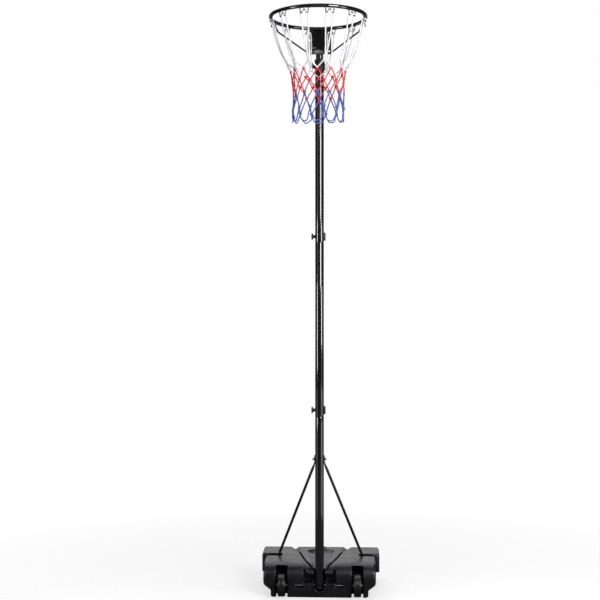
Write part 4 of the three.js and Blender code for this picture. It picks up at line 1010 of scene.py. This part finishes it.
tankLook = {
    "voxel": 0.0019, "smooth": 5, "keep": 0.22, "frontRounding": 0.06, "rearRounding": 0.024,
    "frontFace": -0.016,  # the cradle's rim stands in front of it
    "wall": 0.0035, "bodyFront": 0.0085,  # walls added inside start here
    "below": 0.0003,  # added parts end this far under the top
    "armBack": 0.236,  # where the strip and the slit along the V end
    "strip": 0.0028, "blade": 0.0026, "bladeDepth": 0.022, "bladeFloor": 0.106,
    "filler": (0.0262, 0.073, 0.0965),  # least inner side, least outer side, underside
    "fillerSpan": (0.024, 0.028),  # from the arm's line inwards and outwards
    "fillerStep": 0.00335, "fillerRings": 71, "fillerEnd": (0.262, 0.112),  # how far back and high it ends
    "nose": (-0.0125, 0.0262, 0.057, 0.103),  # front, inner and outer side, underside
    "noseBack": 0.0095, "corner": (0.002, 0.073, 0.110),  # front, outer side, underside
    "hollow": ((0.0295, -0.001, 0.0655), (0.0685, 0.036, 0.0975)),
    "ridge": ((0.073, 0.134), (0.196, 0.236)), "ridgeHeight": 0.087, "ridgeRadius": 0.0016,
    "boss": ((0.0202, -0.012, 0.043), (0.030, 0.012, 0.061)),
    "dish": (0.250, 0.064, 0.056, 0.024),  # centre, half width, half length, depth
}
veeArm = (  # back, the line at the side, the width of the strip outside it
    (-0.0140, 0.0240, 0.033), (-0.0055, 0.0278, 0.029), (-0.0010, 0.0318, 0.025), (0.0067, 0.0372, 0.024),
    (0.0185, 0.0441, 0.023), (0.0340, 0.0534, 0.018), (0.0568, 0.0605, 0.012), (0.1080, 0.0705, 0.008),
    (0.1690, 0.0823, 0.008), (0.2320, 0.0945, 0.008), (0.2700, 0.1017, 0.008),
)


def armAt(y):
    # The values of the V's arm at a distance back, read between its rows
    rows = veeArm
    if y <= rows[0][0]:
        return (y,) + rows[0][1:]
    for a, b in zip(rows, rows[1:]):
        if y <= b[0]:
            share = (y - a[0]) / (b[0] - a[0])
            return tuple(p + (q - p) * share for p, q in zip(a, b))
    return (y,) + rows[-1][1:]


def topAt(y):
    # Height of the tank's top, which rounds down to the front
    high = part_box("base_tank")[1].z
    radius = tankLook["frontRounding"]
    ahead = tankLook["frontFace"] + radius - y
    return high if ahead < 0 else high - radius + math.sqrt(max(0, radius ** 2 - ahead ** 2))


def ringAt(side, y, x0, x1, z0, z1):
    # An upright rectangle at a distance back, left or right of the middle
    return [Vector((side * x, y, z)) for x, z in ((x0, z0), (x1, z0), (x1, z1), (x0, z1))]


def armPrism(side, low, high, section, step=0.004):
    # An upright prism that follows one arm of the V. Its section comes from a row of the arm.
    count = max(2, int((high - low) / step))
    places = [low + (high - low) * k / count for k in range(count + 1)]
    return loftRings([ringAt(side, y, *section(armAt(y))) for y in places])


def bowlPart(grow, rise):
    # The dish, or the body of its wall when it grows
    centre, half, length, depth = tankLook["dish"]
    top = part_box("base_tank")[1].z
    sphere = (half ** 2 + depth ** 2) / (2 * depth)
    edge = math.asin((half + grow) / (sphere + grow)) if grow else math.asin(min(1, (half + 0.004) / sphere))
    profile = [(0, top - depth - grow)]
    for k in range(1, 13):
        a = edge * k / 12
        profile.append(((sphere + grow) * math.sin(a), top - depth - grow + (sphere + grow) * (1 - math.cos(a))))
    if grow:
        profile = [(r, min(z, top - rise)) for r, z in profile]
    profile.append((0, profile[-1][1]))
    verts, faces = revolve(profile, 64)
    return [Vector((v.x, centre + v.y * length / half, v.z)) for v in verts], faces


def armFiller(side):
    # Fills the CAD's wide groove up to the top, as far back as the real one stays narrow
    look = tankLook
    inner, outer, floor = look["filler"]
    inwards, outwards = look["fillerSpan"]
    places = [look["bodyFront"] + look["fillerStep"] * k for k in range(look["fillerRings"])]
    rings = []
    for y, top in [(y, topAt(y) - look["below"]) for y in places] + [look["fillerEnd"]]:
        line = armAt(y)[1]
        rings.append(ringAt(side, y, max(inner, line - inwards), max(outer, line + outwards), floor, top))
    return loftRings(rings)


def carveTank(shell, water):
    # Gives the CAD's plain tank its narrow V, noses, hollows and dish, and takes their walls out of the water
    look = tankLook
    wall, blade = look["wall"], look["blade"]

    def carve(cutter, body):  # cuts into the shell, and gives the cut a wall of its own inside the tank
        combine(shell, body, "UNION")
        combine(water, body, "DIFFERENCE")
        combine(shell, cutter, "DIFFERENCE")

    def arm(start, end, step, operation, section):
        combine(shell, armPrism(side, start, end, section, step), operation)

    noseFront, inner, outer, noseFloor = look["nose"]
    cornerFront, cornerSide, cornerFloor = look["corner"]
    (x0, y0, z0), (x1, y1, z1) = look["hollow"]
    for side in (-1, 1):
        filler = armFiller(side)
        combine(shell, filler, "UNION")
        combine(water, filler, "DIFFERENCE")
        arm(noseFront, look["noseBack"], 0.001, "UNION",
            lambda row: (inner, outer, noseFloor, topAt(row[0]) - look["below"]))
        arm(cornerFront, look["noseBack"], 0.001, "UNION",
            lambda row: (outer - 0.004, cornerSide, cornerFloor, topAt(row[0]) - look["below"]))
        arm(-0.03, look["armBack"], 0.004, "DIFFERENCE",
            lambda row: (row[1], row[1] + row[2], topAt(row[0]) - look["strip"], 0.2))
        arm(-0.004, look["armBack"], 0.004, "DIFFERENCE",
            lambda row: (row[1] - blade, row[1] + blade, max(topAt(row[0]) - look["bladeDepth"], look["bladeFloor"]),
                         0.2))
        low, high = sorted((side * x0, side * x1))
        bodyLow, bodyHigh = sorted((side * (x0 - wall), side * (x1 + wall)))
        carve(slab((low, y0, z0), (high, y1, z1)),
              slab((bodyLow, look["bodyFront"], z0 - wall), (bodyHigh, y1 + wall, z1 + wall)))
        low, high = (Vector(corner) for corner in look["boss"])
        low.x, high.x = sorted((side * low.x, side * high.x))
        combine(shell, slab(low, high), "UNION")
    carve(bowlPart(0, 0), bowlPart(wall, 0.0006))


def roundEdges(shell):
    # The CAD's long flats at the front and rear edge become true arcs
    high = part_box("base_tank")[1]
    front, rear = tankLook["frontRounding"], tankLook["rearRounding"]
    for vertex in shell.data.vertices:
        place = vertex.co
        for radius, y, side in ((front, tankLook["frontFace"] + front, -1), (rear, high.y - rear, 1)):
            out = Vector((0, place.y - y, place.z - high.z + radius))
            if out.y * side > 0 and out.z > 0 and out.length > radius * 0.975:
                place.y, place.z = y + out.y * radius / out.length, high.z - radius + out.z * radius / out.length


def buildTank():
    look = tankLook
    shell = addObject("tankShell", cadNodes["base_tank"].data.copy())
    water = addObject("waterFilling", cadNodes["ballast"].data.copy())
    carveTank(shell, water)
    cadNodes["ballast"].data.materials.clear()
    dress(water, fillingWater, "post", "ballast")
    modify(shell, "REMESH", mode="VOXEL", voxel_size=look["voxel"])
    roundEdges(shell)
    modify(shell, "SMOOTH", factor=0.5, iterations=look["smooth"])
    modify(shell, "DECIMATE", ratio=look["keep"])
    parts = [asPart(shell)]
    for start, end in look["ridge"]:
        for side in (-1, 1):
            ends = [(side * x, look["frontFace"], look["ridgeHeight"]) for x in (start, end)]
            parts.append(sweep(ends, look["ridgeRadius"]))
    make("tankShell", joined(parts), tankSkin, "post", "base_tank", 60)


capLook = {"wall": 0.003, "ribs": 24, "ribDepth": 0.0009, "sealWidth": 0.003}


def buildFiller():
    low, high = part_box("fill_cap")
    centre = (low + high) / 2
    origin = (centre.x, centre.y, 0)
    outer, top = high.x, high.z
    bore = outer - capLook["wall"]

    def ribbed(radius, along, a):
        rib = capLook["ribDepth"] * (0.5 + 0.5 * math.cos(capLook["ribs"] * a))
        return radius - rib if radius > outer - 0.002 else radius

    profile = [(0, top - capLook["wall"]), (bore, top - capLook["wall"]), (bore, low.z), (outer, low.z),
               (outer, top - 0.0012), (outer - 0.0015, top), (0.009, top), (0.008, top - 0.0008), (0, top - 0.0008)]
    cap = revolve(rounded(profile, 0.0006), 144, origin=origin, reach=ribbed)
    bar = bevelled(meshPiece("bar", *slab((-0.010, -0.0016, top - 0.0012), (0.010, 0.0016, top))), 0.0005, 2)
    make("fillerCap", joined([cap, asPart(bar, origin)]), knobNylon, "fill_cap", "fill_cap")
    low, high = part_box("cap_seal")
    outer, bore = high.x, high.x - capLook["sealWidth"]
    seal = revolve(ringProfile([(bore, low.z), (outer, low.z), (outer, high.z), (bore, high.z)], 0.0006), 64,
                   origin=origin)
    make("capSeal", seal, sealRubber, "cap_seal", "cap_seal")


buildTank()
buildFiller()
print("tank built")


# Floor and light

studio = {
    "diffuse": 0.12,  # how much the room lights matt surfaces from all sides
    "front": 0.07, "back": 0.85,  # what gloss shows of the dark room in front and of the white backdrop
    "turn": (0.8, 0.95),  # the directions' Y between which the dark front passes into the backdrop
    "floorAlbedo": 0.9, "floorBounce": 0.1,
    "floorFade": (0.5, 2.2), "floorGlow": 0.62,  # metres over which the floor turns white, and where it starts
}
lamps = {  # degrees to the camera's right, distance, lowest and highest edge, width in degrees, radiance
    "keyBox": (31, 3.0, 1.36, 3.1, 20, 15.0),
    "sideBox": (56, 3.0, 0.72, 1.36, 15, 14.5),
    "fillBox": (-60, 3.0, 0.46, 1.40, 11, 14.0),
    "frontBox": (0, 3.0, 2.2, 2.6, 30, 2.5),
    "highCard": (-50, 3.0, 1.40, 3.1, 16, 1.0),
    "longCard": (60, 3.0, 0.10, 0.72, 24, 0.65),
    "leftCard": (-70, 1.2, 0.01, 0.66, 20, 1.2),
    "rightCard": (63, 1.2, 0.01, 0.66, 50, 1.2),
}
topSun = {"tilt": (-0.5, -0.15), "softness": 60, "strength": 1.5}  # radians forward and left, degrees, W/m2


def whiteBackground():
    # Seen directly, the room is white. Gloss shows the backdrop behind the object and a dark front.
    world = bpy.data.worlds.new("studio")
    bpy.context.scene.world = world
    world.use_nodes = True
    world.node_tree.nodes.clear()
    path = addNode(world, "LightPath")
    coordinates = addNode(world, "TexCoord")
    direction = addNode(world, "SeparateXYZ", Vector=(coordinates, "Generated"))
    backward = addNode(world, "MapRange", {"interpolation_type": "SMOOTHSTEP"}, Value=(direction, "Y"),
                       From_Min=studio["turn"][0], From_Max=studio["turn"][1], To_Min=studio["front"],
                       To_Max=studio["back"])
    seen = addNode(world, "Math", {"operation": "MAXIMUM"}, in0=(path, "Is Camera Ray"),
                   in1=(path, "Is Transmission Ray"))
    room = addNode(world, "Mix", {"data_type": "FLOAT"}, in0=(path, "Is Glossy Ray"),
                   in2=studio["diffuse"], in3=(backward, "Result"))
    level = addNode(world, "Mix", {"data_type": "FLOAT"}, in0=(seen, "Value"), in2=(room, 0), in3=1.0)
    light = addNode(world, "Background", Color=(1, 1, 1, 1), Strength=(level, 0))
    addNode(world, "OutputWorld", Surface=(light, "Background"))


def softLamp(name, degrees, distance, low, high, spread, radiance):
    # An upright soft lamp that faces the object
    a = math.radians(degrees)
    width = 2 * distance * math.tan(math.radians(spread / 2))
    data = bpy.data.lights.new(name, "AREA")
    data.shape = "RECTANGLE"
    data.size, data.size_y = width, high - low
    data.energy = radiance * math.pi * width * (high - low)
    lamp = addObject(name, data)
    lamp.location = distance * (math.sin(a) * rightward - math.cos(a) * forward) + Vector((0, 0, (low + high) / 2))
    lamp.rotation_euler = (math.pi / 2, 0, angle + a)
    lamp.visible_camera = False


def buildFloor():
    # A pale floor that fades into the white background with distance
    floor = meshPiece("floor", *slab((-14, -10, -0.05), (14, 18, 0)))
    m, place = newMaterial("paleFloor")
    path = addNode(m, "LightPath")
    length = addNode(m, "VectorMath", {"operation": "LENGTH"}, in0=(place, "Position"))
    far = stretch(m, length, *studio["floorFade"], studio["floorGlow"], 1.0, "Value")
    share = addNode(m, "Math", {"operation": "MULTIPLY"}, in0=(path, "Is Camera Ray"), in1=(far, "Result"))
    albedo = addNode(m, "Mix", {"data_type": "FLOAT"}, in0=(path, "Is Camera Ray"),
                     in2=studio["floorBounce"], in3=studio["floorAlbedo"])
    diffuse = addNode(m, "BsdfDiffuse", Color=(albedo, 0))
    glow = addNode(m, "Emission", Color=(1, 1, 1, 1), Strength=1.0)
    mix = addNode(m, "MixShader", in0=(share, "Value"), in1=(diffuse, "BSDF"), in2=(glow, "Emission"))
    addNode(m, "OutputMaterial", Surface=(mix, "Shader"))
    floor.data.materials.append(m)


def softSun():
    # A weak broad sun from above
    data = bpy.data.lights.new("topSun", "SUN")
    data.energy = topSun["strength"]
    data.angle = math.radians(topSun["softness"])
    addObject("topSun", data).rotation_euler = (*topSun["tilt"], 0)


whiteBackground()
buildFloor()
for lampName, lampValues in lamps.items():
    softLamp(lampName, *lampValues)
softSun()
print("light set")
